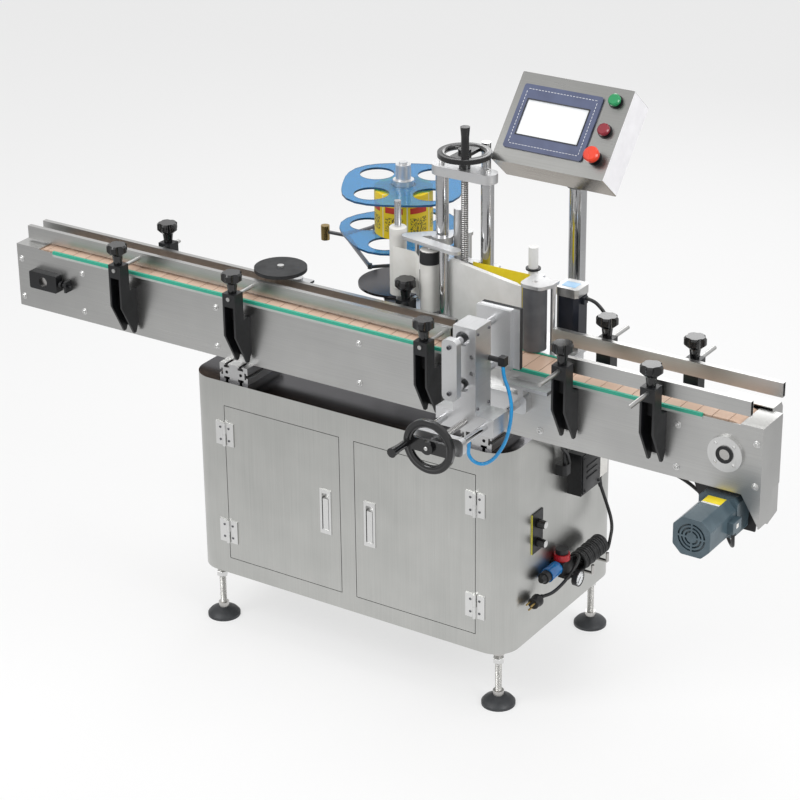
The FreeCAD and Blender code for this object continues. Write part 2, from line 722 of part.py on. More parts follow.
def bearing_flange(y0, y1, way):
    """A round flange with a raised seal ring round the drive shaft."""
    plate = round_bar("y", s.flange_dia, y0, y1, drive_x, shaft_z)
    seal_0, seal_1 = (y0 - 3, y0) if way < 0 else (y1, y1 + 3)
    seal = round_bar("y", s.shaft_dia + 14, seal_0, seal_1, drive_x, shaft_z)
    bore = round_bar("y", s.shaft_dia + s.fit * 2, y0 - 5, y1 + 5, drive_x, shaft_z)
    return less(merged(plate, seal), bore)


def takeup(y0, y1, way):
    """A take-up block with its slot, the adjusting screw and two nuts beside it."""
    x0 = idler_x - s.takeup_long / 2
    x1 = idler_x + s.takeup_long / 2
    z0 = shaft_z - s.takeup_high / 2
    z1 = shaft_z + s.takeup_high / 2
    body = prism("XZ", [(x0, z0), (x1, z0), (x1, z1), (x0, z1)], y0, y1, rounds=[(4, (0, 1, 2, 3))])
    bore = round_bar("y", s.shaft_dia + s.fit * 2, y0 - 1, y1 + 1, idler_x, shaft_z)
    mid_y = (y0 + y1) / 2
    screw = round_bar("x", 8, x1 - 12, x1 + 40, mid_y, shaft_z)
    head = round_bar("x", 17, x1 + 4, x1 + 11, mid_y, shaft_z)
    lug = block(x1 + 24, x1 + 30, min(y0, y1, key=float), max(y0, y1, key=float), z0 + 8, z1 - 8)
    return merged(less(body, bore), screw, head, lug)


node("shaft_bearings", collected(
    bearing_flange(front_face - 8, front_face, -1), bearing_flange(rear_face, rear_face + 8, 1),
    takeup(front_face - s.takeup_deep, front_face, -1), takeup(rear_face, rear_face + s.takeup_deep, 1)))


# Guide rails on black moulded brackets with star knobs
low_top = belt + s.low_rail_rise
high_top = belt + s.high_rail_rise
front_low = (conveyor_left + 352, conveyor_left + 686, station_x - 194)
front_high = (station_x + 154, conveyor_right - 240)
rear_low = (conveyor_left + 365, station_x - 355)
rear_high = (station_x + 165, conveyor_right - 229)


def rail_bracket(x, way, top):
    """A U-shaped bracket: an upright that stands off the side plate and webs that reach it below."""
    face = front_face if way < 0 else rear_face
    x0 = x - s.bracket_wide / 2
    x1 = x + s.bracket_wide / 2
    outer = face + way * s.bracket_out
    back = face + way * (s.bracket_out - s.column_deep)
    step = top - 70
    slant = top - 105
    low = top - s.bracket_high
    outline = [(outer, top), (back, top), (back, step), (face, step), (face, low + 22),
               (face + way * 10, low), (face + way * 18, low), (outer, slant)]
    body = prism("YZ", outline, x0, x1)
    inset = s.bracket_wall
    room = sorted((outer - way * 60 + way * (60 + 1), outer - way * (s.column_deep - inset)), key=float)
    lower = sorted((face + way * inset, outer + way), key=float)
    channel = block(x0 + inset, x1 - inset, *room, low - 1, top - s.clip_high)
    foot = block(x0 + inset, x1 - inset, *lower, low - 1, step - inset)
    rod_hole = round_bar("y", s.rod_dia + s.fit * 2, *sorted((outer + way, back - way), key=float), x, top - s.rod_drop)
    screw_hole = round_bar("z", 8 + s.fit * 2, top - 6.3, top + 1, x, (outer + back) / 2)
    return less(body, channel, foot, rod_hole, screw_hole)


brackets = []
knob_places = []
for way, places, top in ((-1, front_low, low_top), (-1, front_high, high_top),
                         (1, rear_low, low_top), (1, rear_high, high_top)):
    for x in places:
        brackets.append(rail_bracket(x, way, top))
        face = front_face if way < 0 else rear_face
        knob_places.append((x, face + way * (s.bracket_out - s.column_deep / 2), top))
node("rail_brackets", collected(*brackets))


def star_knob(name, x, y, z):
    """A five-lobed knob on a tapered neck with a short screw."""
    neck_top = z + s.knob_high * 0.56
    top = z + s.knob_high
    parts = [round_bar("z", 8, z - 6, z + 1, x, y), cone("z", 20, 27, z + 0.3, neck_top, x, y)]
    parts.append(cone("z", 30, s.knob_dia, neck_top - 4, neck_top + 5, x, y))
    parts.append(round_bar("z", s.knob_dia, neck_top + 5, top - 4, x, y))
    parts.append(cone("z", s.knob_dia, s.knob_dia - 8, top - 4, top, x, y))
    lobes = []
    for i in range(5):
        angle = math.radians(36 + 72 * i)
        reach = s.knob_dia * 0.62
        lobes.append(round_bar("z", s.knob_dia * 0.5, neck_top - 5, top + 1,
                               x + reach * math.cos(angle), y + reach * math.sin(angle)))
    node(name, less(merged(*parts), *lobes))


for number, (x, y, z) in enumerate(knob_places, start=1):
    star_knob(f"clamp_knob_{number}", x, y, z)


def guide_rail(name, x0, x1, inside, way, level, places, rod_end):
    """A rail of thin rectangular tube with rods that run out through its brackets."""
    outside = inside + way * s.rail_thick
    y0, y1 = sorted((inside, outside), key=float)
    z0 = level - s.rail_high / 2
    z1 = level + s.rail_high / 2
    wall = s.rail_wall
    parts = [less(block(x0, x1, y0, y1, z0, z1),
                  block(x0 - 1, x1 + 1, y0 + wall, y1 - wall, z0 + wall, z1 - wall))]
    for x in places:
        start, end = sorted((inside + way * wall, rod_end), key=float)
        parts.append(round_bar("y", s.rod_dia, start, end, x, level))
    node(name, merged(*parts))


infeed_mid = line + s.lane_offset
rail_low_z = low_top - s.rod_drop
rail_high_z = high_top - s.rod_drop
clip_front = front_face - s.bracket_out
clip_rear = rear_face + s.bracket_out
rail_left = conveyor_left + 12
low_front_y = infeed_mid - s.lane_infeed / 2
low_rear_y = infeed_mid + s.lane_infeed / 2
high_front_y = line - s.lane_outfeed / 2 + 3
high_rear_y = line + s.lane_outfeed / 2 + 3
guide_rail("infeed_front_rail", rail_left, station_x - 172, low_front_y, -1, rail_low_z, front_low, clip_front - 3)
guide_rail("infeed_rear_rail", rail_left + 10, station_x - 188, low_rear_y, 1, rail_low_z, rear_low, clip_rear + 26)
guide_rail("outfeed_front_rail", station_x + 130, conveyor_right - 24, high_front_y, -1, rail_high_z,
           front_high, clip_front - 80)
guide_rail("outfeed_rear_rail", station_x + 48, conveyor_right - 8, high_rear_y, 1, rail_high_z,
           rear_high, clip_rear + 78)


# Gearmotor under the drive end, its plate and the guard of the drive to the shaft
motor_x = drive_x - 11
motor_z = side_low - s.motor_drop
plate_y = front_face + s.leg_deep - 5.5
plate_back = plate_y + 5


def octagon(x, z, wide, cut):
    h = wide / 2
    return [(x - h, z - h + cut), (x - h + cut, z - h), (x + h - cut, z - h), (x + h, z - h + cut),
            (x + h, z + h - cut), (x + h - cut, z + h), (x - h + cut, z + h), (x - h, z + h - cut)]


def gearmotor():
    gear_front = plate_y - s.gearbox_long
    motor_front = gear_front - s.motor_long
    corner = s.motor_square * 0.22
    shell = prism("XZ", octagon(motor_x, motor_z, s.motor_square - 4, corner), motor_front, gear_front - 6,
                  rounds=[(8, (0, 1, 2, 3, 4, 5, 6, 7))])
    flange = prism("XZ", octagon(motor_x, motor_z, s.motor_square, 9), gear_front - 6, plate_y)
    slots = []
    for radius, width in ((32, 4), (24, 4), (16, 4)):
        slots.append(less(round_bar("y", radius * 2, motor_front - 1, motor_front + 5, motor_x, motor_z),
                          round_bar("y", (radius - width) * 2, motor_front - 2, motor_front + 6, motor_x, motor_z),
                          block(motor_x - 2, motor_x + 2, motor_front - 2, motor_front + 6,
                                motor_z - s.motor_square / 2, motor_z + s.motor_square / 2),
                          block(motor_x - s.motor_square / 2, motor_x + s.motor_square / 2,
                                motor_front - 2, motor_front + 6, motor_z - 2, motor_z + 2)))
    box = block(motor_x + s.motor_square / 2 - 6, motor_x + s.motor_square / 2 + 12,
                gear_front - 46, gear_front - 8, motor_z - 14, motor_z + 12)
    node("gearmotor", merged(less(merged(shell, flange), *slots), box))


gearmotor()
half = s.motor_square / 2
guard_y = rear_face
mount_plate = prism("XZ", [(motor_x - half - 52, side_low), (motor_x - half - 6, motor_z - half - 4),
                           (motor_x + half + 16, motor_z - half - 4), (conveyor_right - 20, side_low)],
                    plate_y, plate_back)
sleeve = round_bar("y", 30, plate_back, guard_y, motor_x, motor_z)
guard_back = guard_y + s.guard_deep
guard = less(
    prism("YZ", [(guard_y, motor_z - half), (guard_back, motor_z - half + 12), (guard_back, belt - 6),
                 (guard_back - 8, belt + 6), (guard_y, belt + 6)], drive_x - 56, drive_x + 60),
    prism("YZ", [(guard_y + 2, motor_z - half + 3), (guard_back - 2, motor_z - half + 14), (guard_back - 2, belt - 7),
                 (guard_back - 9, belt + 4), (guard_y - 1, belt + 4), (guard_y - 1, side_low), (guard_y + 2, side_low)],
          drive_x - 54, drive_x + 58))
node("motor_mount", collected(mount_plate, sleeve, guard))


# Handwheels
def handwheel(axis, x, y, z, way, grip_x, grip_z, grip_long):
    """A rim with a two-armed web, a hub and a folding grip; way is the side that the grip stands on."""
    rim = ring(axis, s.wheel_dia, s.rim_dia, x, y, z)
    reach = s.wheel_dia / 2 - s.rim_dia / 2
    parts = [rim]
    if axis == "y":
        parts.append(block(x - reach, x + reach, y - 4, y + 4, z - 15, z + 15))
        parts.append(round_bar("y", 30, y - 12, y + 14, x, z))
        parts.append(round_bar("y", 17, y - 4 - grip_long, y, x + grip_x, z + grip_z))
        parts.append(cone("y", 22, 17, y - 6 - grip_long, y - grip_long + 20, x + grip_x, z + grip_z))
    else:
        parts.append(block(x - 15, x + 15, y - reach, y + reach, z - 4, z + 4))
        parts.append(round_bar("z", 30, z - 14, z + 12, x, y))
        parts.append(round_bar("z", 18, z, z + grip_long, x + grip_x, y + grip_z))
        parts.append(cone("z", 18, 22, z + grip_long - 24, z + grip_long, x + grip_x, y + grip_z))
    return parts


# Press unit: slideway on the front side plate, screwed carriage, twin-rod press
press_x = station_x - s.press_shift
press_z = belt - s.press_drop
press_front = front_face - s.press_reach
bracket_deep = 22


def slot_plate(x, z, wide, high, y0, y1, holes):
    """A plate with rounded corners and cross holes, across Y."""
    outline = [(x - wide / 2, z - high / 2), (x + wide / 2, z - high / 2),
               (x + wide / 2, z + high / 2), (x - wide / 2, z + high / 2)]
    return prism("XZ", outline, y0, y1, holes=holes, rounds=[(12, (0, 1, 2, 3))])


def press_unit():
    end_plate = slot_plate(press_x, press_z, s.press_span + 38, 40, press_front - s.press_plate_thick, press_front,
                           [(press_x, press_z, s.screw_dia + s.fit * 2)])
    rear_plate = slot_plate(press_x, press_z, s.press_span + 44, 44, front_face - bracket_deep, front_face, [])
    rods = [round_bar("y", s.press_rod, press_front, front_face - bracket_deep, press_x + way * s.press_span / 2, press_z)
            for way in (-1, 1)]
    shelf = block(press_x + 18, press_x + 128, front_face - 30, front_face, belt - 34, belt - 26)
    web = block(press_x + 50, press_x + 64, front_face - bracket_deep, front_face, press_z + 20, belt - 34)
    node("press_slideway", merged(end_plate, rear_plate, *rods, shelf, web))

    back = front_face - s.block_gap
    front = back - s.block_deep
    base = block(press_x - s.block_wide / 2, press_x + s.block_wide / 2, front, back,
                 press_z - s.block_high / 2, press_z + s.block_high / 2)
    top = press_z + s.block_high / 2 + s.cylinder_high
    upright = block(press_x - s.cylinder_wide / 2, press_x + s.cylinder_wide / 2, front, back,
                    press_z + s.block_high / 2, top)
    cuts = [round_bar("y", s.press_rod + s.fit * 2, front - 1, back + 1, press_x + way * s.press_span / 2, press_z)
            for way in (-1, 1)]
    cuts.append(round_bar("y", s.screw_dia + s.fit * 2, front - 1, back + 1, press_x, press_z))
    rod_x = press_x - 4
    levels = (top - 27, top - 27 - s.piston_span)
    for z in levels:
        cuts.append(round_bar("y", s.piston_rod + s.fit * 2, front - 1, back + 1, rod_x, z))
        cuts.append(round_bar("y", s.piston_rod + 15, front - 1, front + 18, rod_x, z))
    for z in (levels[0] - 38, levels[1] + 30):
        cuts.append(round_bar("y", 10, front - 1, front + 12, press_x + 18, z))
    elbow = round_bar("x", 12, press_x + s.cylinder_wide / 2 - 1, press_x + 58, back - 6, press_z + 136)
    nut = block(press_x + 54, press_x + 70, back - 14, back + 2, press_z + 126, press_z + 146)
    barb = round_bar("z", 14, press_z - 44, press_z - s.block_high / 2 + 1, press_x + 4, back - 49)
    node("press_carriage", merged(less(merged(base, upright), *cuts), elbow, nut, barb))

    plate_front = front - 54
    mid = (levels[0] + levels[1]) / 2
    tie = slot_plate(rod_x, mid, 37, s.piston_span + 34, plate_front, plate_front + 18, [])
    pad_y = front_face - 40
    bars = [round_bar("y", s.piston_rod, plate_front + 18, pad_y, rod_x, z) for z in levels]
    half = s.pad_high / 2
    pad_mid = belt + 8 + half
    plate = block(press_x - 43, press_x + 41, pad_y, pad_y + 12, pad_mid - half, pad_mid + half)
    pad = block(press_x - 38, press_x + 58, pad_y + 12, pad_y + 12 + s.pad_thick, pad_mid - half + 3, pad_mid + half + 3)
    node("press_plate", merged(tie, *bars, plate, pad))

    wheel_y = press_front - s.press_plate_thick - 23
    screw = round_bar("y", s.screw_dia, wheel_y, back - 6, press_x, press_z)
    collar = round_bar("y", 26, wheel_y + 14, press_front - s.press_plate_thick - 0.3, press_x, press_z)
    wheel = handwheel("y", press_x, wheel_y, press_z, -1, -50, 0, 62)
    node("press_handwheel", merged(screw, collar, *wheel))
    return front, back, top


carriage_front, carriage_back, carriage_top = press_unit()


# Rubber wrap roller on its stand behind the conveyor, with the stepper motor
roller_y = line + s.roller_back
stand_z = belt - 14
roller_low = belt + 4.5
roller_top = roller_low + s.roller_long
stepper_x = station_x + 52
stepper_y = rear_face + 86


def roller_stand():
    low = stand_z
    top = stand_z + s.stand_thick
    base = block(station_x - 30, stepper_x + 34, rear_face + 3, stepper_y + 34, low, top)
    flange = block(station_x - 30, stepper_x + 34, rear_face, rear_face + 6, low - 60, low)
    web = block(station_x - 30, station_x - 22, rear_face, stepper_y + 34, low - 40, low)
    plate_low = roller_top + 0.5
    head = prism("XY", [(station_x - 27, roller_y - 27), (station_x + 27, roller_y - 27), (station_x + 43, roller_y + 4),
                        (station_x + 43, roller_y + 32), (station_x - 27, roller_y + 32)],
                 plate_low, plate_low + s.stand_thick, rounds=[(16, (0, 1))])
    post = round_bar("z", 11, top, plate_low, station_x + 33, roller_y + 22)
    heel = round_bar("z", 14, top, plate_low, station_x - 12, roller_y + 36)
    boss = block(station_x - 24, station_x, roller_y + 28, roller_y + 44, plate_low, plate_low + s.stand_thick)
    holes = [round_bar("z", 12 + s.fit * 2, z0, z1, station_x, roller_y)
             for z0, z1 in ((low - 1, top + 1), (plate_low - 1, plate_low + s.stand_thick + 1))]
    node("roller_stand", less(merged(base, flange, web, head, post, heel, boss), *holes))


roller_stand()
node("rubber_roller", merged(round_bar("z", s.roller_dia, roller_low, roller_top, station_x, roller_y),
                             round_bar("z", 12, stand_z, roller_top + 6, station_x, roller_y)))


def stepper():
    """A square motor with chamfered corners between two bright caps, standing on its stand."""
    low = stand_z + s.stand_thick
    top = low + s.stepper_high
    ends = 20
    foot = prism("XY", octagon(stepper_x, stepper_y, s.stepper_wide, 7), low, low + ends / 2)
    core = prism("XY", octagon(stepper_x, stepper_y, s.stepper_wide - 2, 9), low + ends / 2, top - ends)
    cap = prism("XY", octagon(stepper_x, stepper_y, s.stepper_wide, 7), top - ends, top)
    lead_box = block(stepper_x + s.stepper_wide / 2 - 3, stepper_x + s.stepper_wide / 2 + 7,
                     stepper_y - 8, stepper_y + 8, top - 38, top - 22)
    node("stepper_motor", merged(foot, core, cap, lead_box))


stepper()

# Bottle separating wheel behind the infeed lane, its bracket and small motor
separator_x = station_x - s.separator_shift
separator_y = line + 60
wheel_low = belt + 41.5


def separator():
    low = stand_z
    plate = block(separator_x - 27, separator_x + 28, rear_face + 3, separator_y + 94, low, low + 6)
    flange = block(separator_x - 27, separator_x + 28, rear_face, rear_face + 5, low - 56, low)
    sleeve = round_bar("z", 18, low + 6, wheel_low - 2, separator_x, separator_y)
    bore = round_bar("z", 10 + s.fit * 2, low - 1, wheel_low, separator_x, separator_y)
    motor = round_bar("z", 60, low - 78, low, separator_x, separator_y + 60)
    pinion_cover = round_bar("z", 34, low + 6, low + 20, separator_x, separator_y + 60)
    node("separator_drive", merged(less(merged(plate, flange, sleeve), bore), motor, pinion_cover))
    disc = turned([(0, 0), (54, 0), (62, 2.5), (62, s.wheel_turn_thick), (8, s.wheel_turn_thick),
                   (8, s.wheel_turn_thick + 4), (0, s.wheel_turn_thick + 4)], separator_x, separator_y, wheel_low)
    axle = round_bar("z", 10, low - 0.5, wheel_low + 1, separator_x, separator_y)
    node("separating_wheel", merged(disc, axle))


separator()

# Lift unit of the label head: two posts, a yoke and a screw with a handwheel
post_mid = station_x - s.post_shift
post_y = line + s.post_back
post_left = post_mid - s.post_span / 2
post_right = post_mid + s.post_span / 2
post_top = cabinet_top + s.post_high
slide_low = belt - s.slide_drop
slide_top = slide_low + s.slide_high
lift_screw = 16
pole_x = cabinet_right - s.pole_inset
pole_y = line + s.pole_back
pole_top = cabinet_top + s.pole_high


def lift_unit():
    parts = []
    for x in (post_left, post_right):
        parts.append(round_bar("z", s.post_dia, cabinet_top, post_top, x, post_y))
        parts.append(round_bar("z", s.post_dia * 2, cabinet_top, cabinet_top + 10, x, post_y))
    end = s.post_dia * 0.78
    parts.append(block(post_left, post_right, post_y - end, post_y + end, post_top, post_top + s.yoke_thick))
    for x in (post_left, post_right):
        parts.append(round_bar("z", end * 2, post_top, post_top + s.yoke_thick, x, post_y))
    bore = round_bar("z", lift_screw + s.fit * 2, post_top - 1, post_top + s.yoke_thick + 1, post_mid, post_y)
    pole = merged(round_bar("z", s.pole_dia, cabinet_top, pole_top, pole_x, pole_y),
                  round_bar("z", s.pole_dia * 2.2, cabinet_top, cabinet_top + 10, pole_x, pole_y))
    node("upright_posts", collected(less(merged(*parts), bore), pole))
    wheel_z = post_top + s.yoke_thick + 33
    screw = round_bar("z", lift_screw, slide_top - 115, wheel_z, post_mid, post_y)
    collar = round_bar("z", 26, post_top + s.yoke_thick + 0.3, wheel_z - 13, post_mid, post_y)
    node("head_handwheel", merged(screw, collar, *handwheel("z", post_mid, post_y, wheel_z, 1, 27, -42, 80)))


lift_unit()

# Label head: slide block, deck, guide posts, link plate and peel plate
reel_x = post_mid - s.reel_shift
reel_y = post_y + s.reel_back
reel_low = belt + s.reel_rise
reel_top = reel_low + s.reel_thick + s.reel_gap
guide_x = post_left - 107
guide_y = post_y - 20
band_x = post_left - 3
band_y = post_y - 48
peel_x = station_x - 38
peel_y = line + 67


def strut(x0, y0, x1, y1, wide, z0, z1):
    """A flat bar between two centres, with round ends."""
    run = math.hypot(float(x1) - float(x0), float(y1) - float(y0))
    across = -(float(y1) - float(y0)) / run * wide / 2
    along = (float(x1) - float(x0)) / run * wide / 2
    bar = prism("XY", [(x0 + across, y0 + along), (x0 - across, y0 - along),
                       (x1 - across, y1 - along), (x1 + across, y1 + along)], z0, z1)
    return [bar, round_bar("z", wide, z0, z1, x0, y0), round_bar("z", wide, z0, z1, x1, y1)]


def label_head():
    deck_top = slide_low + s.deck_thick
    slide = prism("XY", [(post_left - 26, post_y - 21), (post_right + 26, post_y - 21),
                         (post_right + 26, post_y + 21), (post_left - 26, post_y + 21)],
                  slide_low, slide_top, rounds=[(8, (0, 1, 2, 3))])
    deck = prism("XY", [(guide_x - 26, guide_y - 14), (guide_x + 26, guide_y - 14), (guide_x + 26, post_y - 13),
                        (post_left - 21, post_y - 13), (post_left - 15, post_y - 57), (post_left + 17, post_y - 75),
                        (post_mid + 28, post_y - 75), (peel_x - 4, peel_y - 13), (peel_x - 4, post_y + 3),
                        (post_left + 92, post_y + 86), (post_left + 40, post_y + 86), (reel_x + 68, reel_y + 38),
                        (reel_x - 38, reel_y + 38), (reel_x - 38, reel_y - 50)], slide_low, deck_top)
    link_low = belt + s.link_rise
    a = (post_left - 67, post_y - 40)
    b = (post_left + 34, post_y + 51)
    c = (post_left + 73, post_y - 64)
    link = strut(*a, *b, 28, link_low, link_low + 8) + strut(*a, *c, 28, link_low, link_low + 8)
    link.append(round_bar("z", s.post_dia + 20, link_low - 10, link_low + 8, post_left, post_y))
    run = [peel_x - (post_left + 52), peel_y - (post_y - 45)]
    length = math.hypot(float(run[0]), float(run[1]))
    u, v = float(run[0]) / length, float(run[1]) / length
    side = s.peel_thick / 2
    tail = (post_left + 52, post_y - 45)
    neck = (peel_x - 20 * u, peel_y - 20 * v)
    peel = prism("XY", [(tail[0] + side * v, tail[1] - side * u), (neck[0] + side * v, neck[1] - side * u),
                        (peel_x + 1, peel_y - 3), (peel_x + 1, peel_y - 1),
                        (neck[0] - side * v, neck[1] + side * u), (tail[0] - side * v, tail[1] + side * u)],
                 belt + 2, belt + 2 + s.peel_high)
    foot = prism("XY", [(tail[0] + side * v, tail[1] - side * u), (neck[0] + side * v, neck[1] - side * u),
                        (neck[0] - side * v, neck[1] + side * u), (tail[0] - side * v, tail[1] + side * u)],
                 slide_low, belt + 2)
    posts = [round_bar("z", 19, deck_top - 1, link_low + 1, post_left + 42, post_y - 64),
             round_bar("z", 10, belt + 61, link_low + 1, a[0] + 23, a[1] + 2),
             round_bar("z", 24, deck_top - 1, link_low + 75, b[0] + 1, b[1] - 36),
             round_bar("z", 24, deck_top - 1, link_low, b[0], b[1] - 2),
             round_bar("z", 14, deck_top - 1, post_top + 56, post_left + 70, post_y + 75),
             round_bar("z", 22, post_top - 8, post_top + 62, post_left + 70, post_y + 75),
             round_bar("z", 22, deck_top - 1, link_low + 35, peel_x - 22, post_y - 15),
             round_bar("z", 34, link_low - 18, link_low - 14, peel_x - 22, post_y - 15),
             round_bar("z", 26, slide_top - 1, slide_top + 10, post_right - 27, post_y - 12)]
    spindle = [round_bar("z", 44, deck_top - 1, reel_low - 0.3, reel_x, reel_y),
               round_bar("z", s.disc_dia, deck_top + 4, deck_top + 10, reel_x + 16, reel_y - 58),
               round_bar("z", 60, deck_top - 1, deck_top + 4, reel_x + 16, reel_y - 58),
               round_bar("z", s.spindle_dia, reel_low - 1, reel_top + 60, reel_x, reel_y)]
    pins = [round_bar("z", 12, deck_top - 1, belt + 182, guide_x, guide_y),
            round_bar("z", 16, belt + 178.5, belt + 240, guide_x, guide_y),
            round_bar("z", 12, deck_top - 1, link_low + 1, band_x, band_y)]
    dancer_post = round_bar("z", 16, deck_top - 1, belt + 46, reel_x + 49, reel_y - 93)
    dancer_pin = round_bar("z", 8, belt + 45, belt + 58, reel_x + 49, reel_y - 93)
    posts += [dancer_post, dancer_pin]
    bores = [round_bar("z", s.post_dia + s.fit * 2, slide_low - 1, slide_top + 1, x, post_y)
             for x in (post_left, post_right)]
    bores.append(round_bar("z", s.post_dia + s.fit * 2, link_low - 12, link_low + 10, post_left, post_y))
    bores.append(round_bar("z", lift_screw + s.fit * 2, slide_low - 1, slide_top + 1, post_mid, post_y))
    node("head_carriage", less(merged(slide, deck, *link, foot, peel, *posts, *spindle, *pins), *bores))


label_head()


def free_roller(name, diameter, z0, z1, x, y, pin, band=0):
    """A roller with chamfered rims on a fixed pin."""
    parts = [cone("z", diameter - 4, diameter, z0, z0 + 2, x, y), round_bar("z", diameter, z0 + 2, z1 - 2, x, y),
             cone("z", diameter, diameter - 4, z1 - 2, z1, x, y)]
    if band:
        parts.append(round_bar("z", diameter + 1.5, z1 - band, z1 - 2, x, y))
    bore = round_bar("z", pin + s.fit * 2, z0 - 1, z1 + 1, x, y)
    node(name, less(merged(*parts), bore))


free_roller("guide_roller", s.idle_roller, belt + 12, belt + 178, guide_x, guide_y, 12)
free_roller("band_roller", s.band_roller, belt + 6, belt + 153, band_x, band_y, 12, 32)


# Label web: one stretch to the banded roller and one behind the peel plate
def web():
    def stretch(places, z0, z1):
        left = [(x, y - 0.4) for x, y in places]
        right = [(x, y + 0.4) for x, y in reversed(places)]
        return prism("XY", left + right, z0, z1)

    front = guide_y - s.idle_roller / 2 - 0.8
    infeed = [(guide_x, front), (post_left - 44, post_y - 44), (band_x - 17, band_y - 18.5)]
    outfeed = [(post_left + 98, post_y - 27), (peel_x - 24, post_y - 26.8)]
    node("label_web", collected(stretch(infeed, belt + 33, belt + 136), stretch(outfeed, belt + 36, belt + 136)))


web()


# Reel: two rounded square discs with four windows each, joined by a hub, and the label roll between them
def reel_disc(z0, quarter):
    """A disc whose outline swells to four rounded corners; quarter turns it by a share of a right angle."""
    reach = s.reel_dia / 2
    points = []
    for i in range(32):
        angle = math.tau * (i + 0.5) / 32
        bulge = (abs(math.cos(angle)) ** 3 + abs(math.sin(angle)) ** 3) ** (-1 / 3)
        way = angle + math.pi / 2 * quarter
        points.append((reel_x + reach * (bulge * math.cos(way)), reel_y + reach * (bulge * math.sin(way))))
    windows = []
    for corner in range(4):
        way = math.pi / 2 * (corner + 0.5 + quarter)
        windows.append((reel_x + s.window_reach * math.cos(way), reel_y + s.window_reach * math.sin(way),
                        s.window_dia))
    return prism("XY", points, z0, z0 + s.reel_thick, holes=windows)


def reel():
    hub = round_bar("z", 60, reel_low, reel_top + s.reel_thick, reel_x, reel_y)
    boss = round_bar("z", 36, reel_top + s.reel_thick, reel_top + 54, reel_x, reel_y)
    flange = round_bar("z", 50, reel_top + s.reel_thick, reel_top + s.reel_thick + 12, reel_x, reel_y)
    bore = round_bar("z", s.spindle_dia + s.fit * 2, reel_low - 1, reel_top + 61, reel_x, reel_y)
    node("reel_discs", less(merged(reel_disc(reel_low, 0.58), reel_disc(reel_top, 0.31), hub, boss, flange), bore))
    low = reel_low + s.reel_thick
    node("label_roll", less(round_bar("z", s.label_roll, low, reel_top - 4, reel_x, reel_y),
                            round_bar("z", 60, low - 1, reel_top + 1, reel_x, reel_y)))


reel()


# Dancer arm that swings under the reel and carries a brass roller
def dancer():
    x = reel_x + 49
    y = reel_y - 93
    low = belt + 46.3
    elbow = (x - 53, y - 47)
    knee = (x - 214, y + 91)
    far = (x - 188, y + 177)
    tip = (x - 271, y + 87)
    hub = round_bar("z", 18, low, low + 10, x, y)
    bars = strut(x, y, *elbow, 7, low + 1, low + 7)
    bars += strut(*elbow, *knee, 8, low + 1, low + 7)
    bars += strut(*knee, *far, 8, low + 1, low + 7)
    bars += strut(*knee, *tip, 8, low + 1, low + 7)
    bars.append(round_bar("z", 11, low, low + 12, *elbow))
    bars.append(round_bar("z", 11, low - 18, low + 8, *far))
    bars.append(round_bar("z", 21, low - 16, low + 20, *tip))
    bore = round_bar("z", 8 + s.fit * 2, low - 1, low + 13, x, y)
    node("dancer_arm", less(merged(hub, *bars), bore))


dancer()


# Control box on its pole: a tilted housing with a recessed screen and three buttons
face_x = pole_x - 24
face_y = pole_y - 35
face_z = pole_top + 124


def tilted(obj):
    """Place a piece drawn about the face's centre, looking along -Y, on the tilted face."""
    put(obj, face_x, face_y, face_z, Rotation(Vector(1, 0, 0), -float(s.panel_tilt)))
    obj.setExpression("Placement.Rotation.Angle", f"-{s.panel_tilt.formula}")
    return obj


buttons = {
    "start_button": (107, 76, s.button_dia * 1.3, s.button_dia, 9),
    "stop_button": (107, 4, s.button_dia * 1.3, s.button_dia, 9),
    "emergency_button": (107, -62, s.stop_dia, s.button_dia, 24),
}
origin = Size(0, "0")


def control_box():
    w = s.panel_wide / 2
    h = s.panel_high / 2
    body = prism("XZ", [(-w, -h), (w, -h), (w, h), (-w, h)], origin, s.panel_deep, rounds=[(3, (0, 1, 2, 3))])
    bezel = prism("XZ", [(-123, -76), (77, -76), (77, 80), (-123, 80)], origin - 5, origin + 1,
                  rounds=[(6, (0, 1, 2, 3))])
    screen = block(-101.6, 53.5, -6, -3.5, -40.7, 43.6)
    rings = []
    holes = []
    for x, z, cap, stem, out in buttons.values():
        rings.append(round_bar("y", s.button_dia + 11, origin - 3, origin + 1, x, z))
        holes.append(round_bar("y", s.button_dia - 6 + s.fit * 2, origin - 6, origin + 26, x, z))
    skin = s.panel_wall
    room = block(-w + skin, w - skin, origin + skin, s.panel_deep - skin, -h + skin, h - skin)
    shape = tilted(less(merged(body, less(bezel, screen), *rings), *holes, room))
    collar = round_bar("z", s.pole_dia + 12, pole_top - 25, pole_top + 30, pole_x, pole_y)
    bore = round_bar("z", s.pole_dia + s.fit * 2, pole_top - 60, pole_top + 0.3, pole_x, pole_y)
    way = round_bar("z", s.pole_dia * 0.6, pole_top, pole_top + 31, pole_x, pole_y)
    node("control_box", less(merged(shape, collar), bore, way))
    for name, (x, z, cap, stem, out) in buttons.items():
        head_0 = -8.5 - out
        parts = [round_bar("y", s.button_dia - 6, origin - 9, origin + 18, x, z),
                 round_bar("y", cap, origin + head_0 + 3, origin - 8.5, x, z),
                 cone("y", cap - 6, cap, origin + head_0, origin + head_0 + 3, x, z)]
        if out > 20:
            parts[1] = round_bar("y", cap * 0.7, origin - 20, origin - 8.5, x, z)
            parts.append(round_bar("y", cap, origin + head_0 + 3, origin - 20, x, z))
        node(name, tilted(merged(*parts)))


control_box()


# Air filter regulator and the fittings on the cabinet's right side
side_x = cabinet_right
side_y = cabinet_front + 35
side_z = s.foot_high - 150


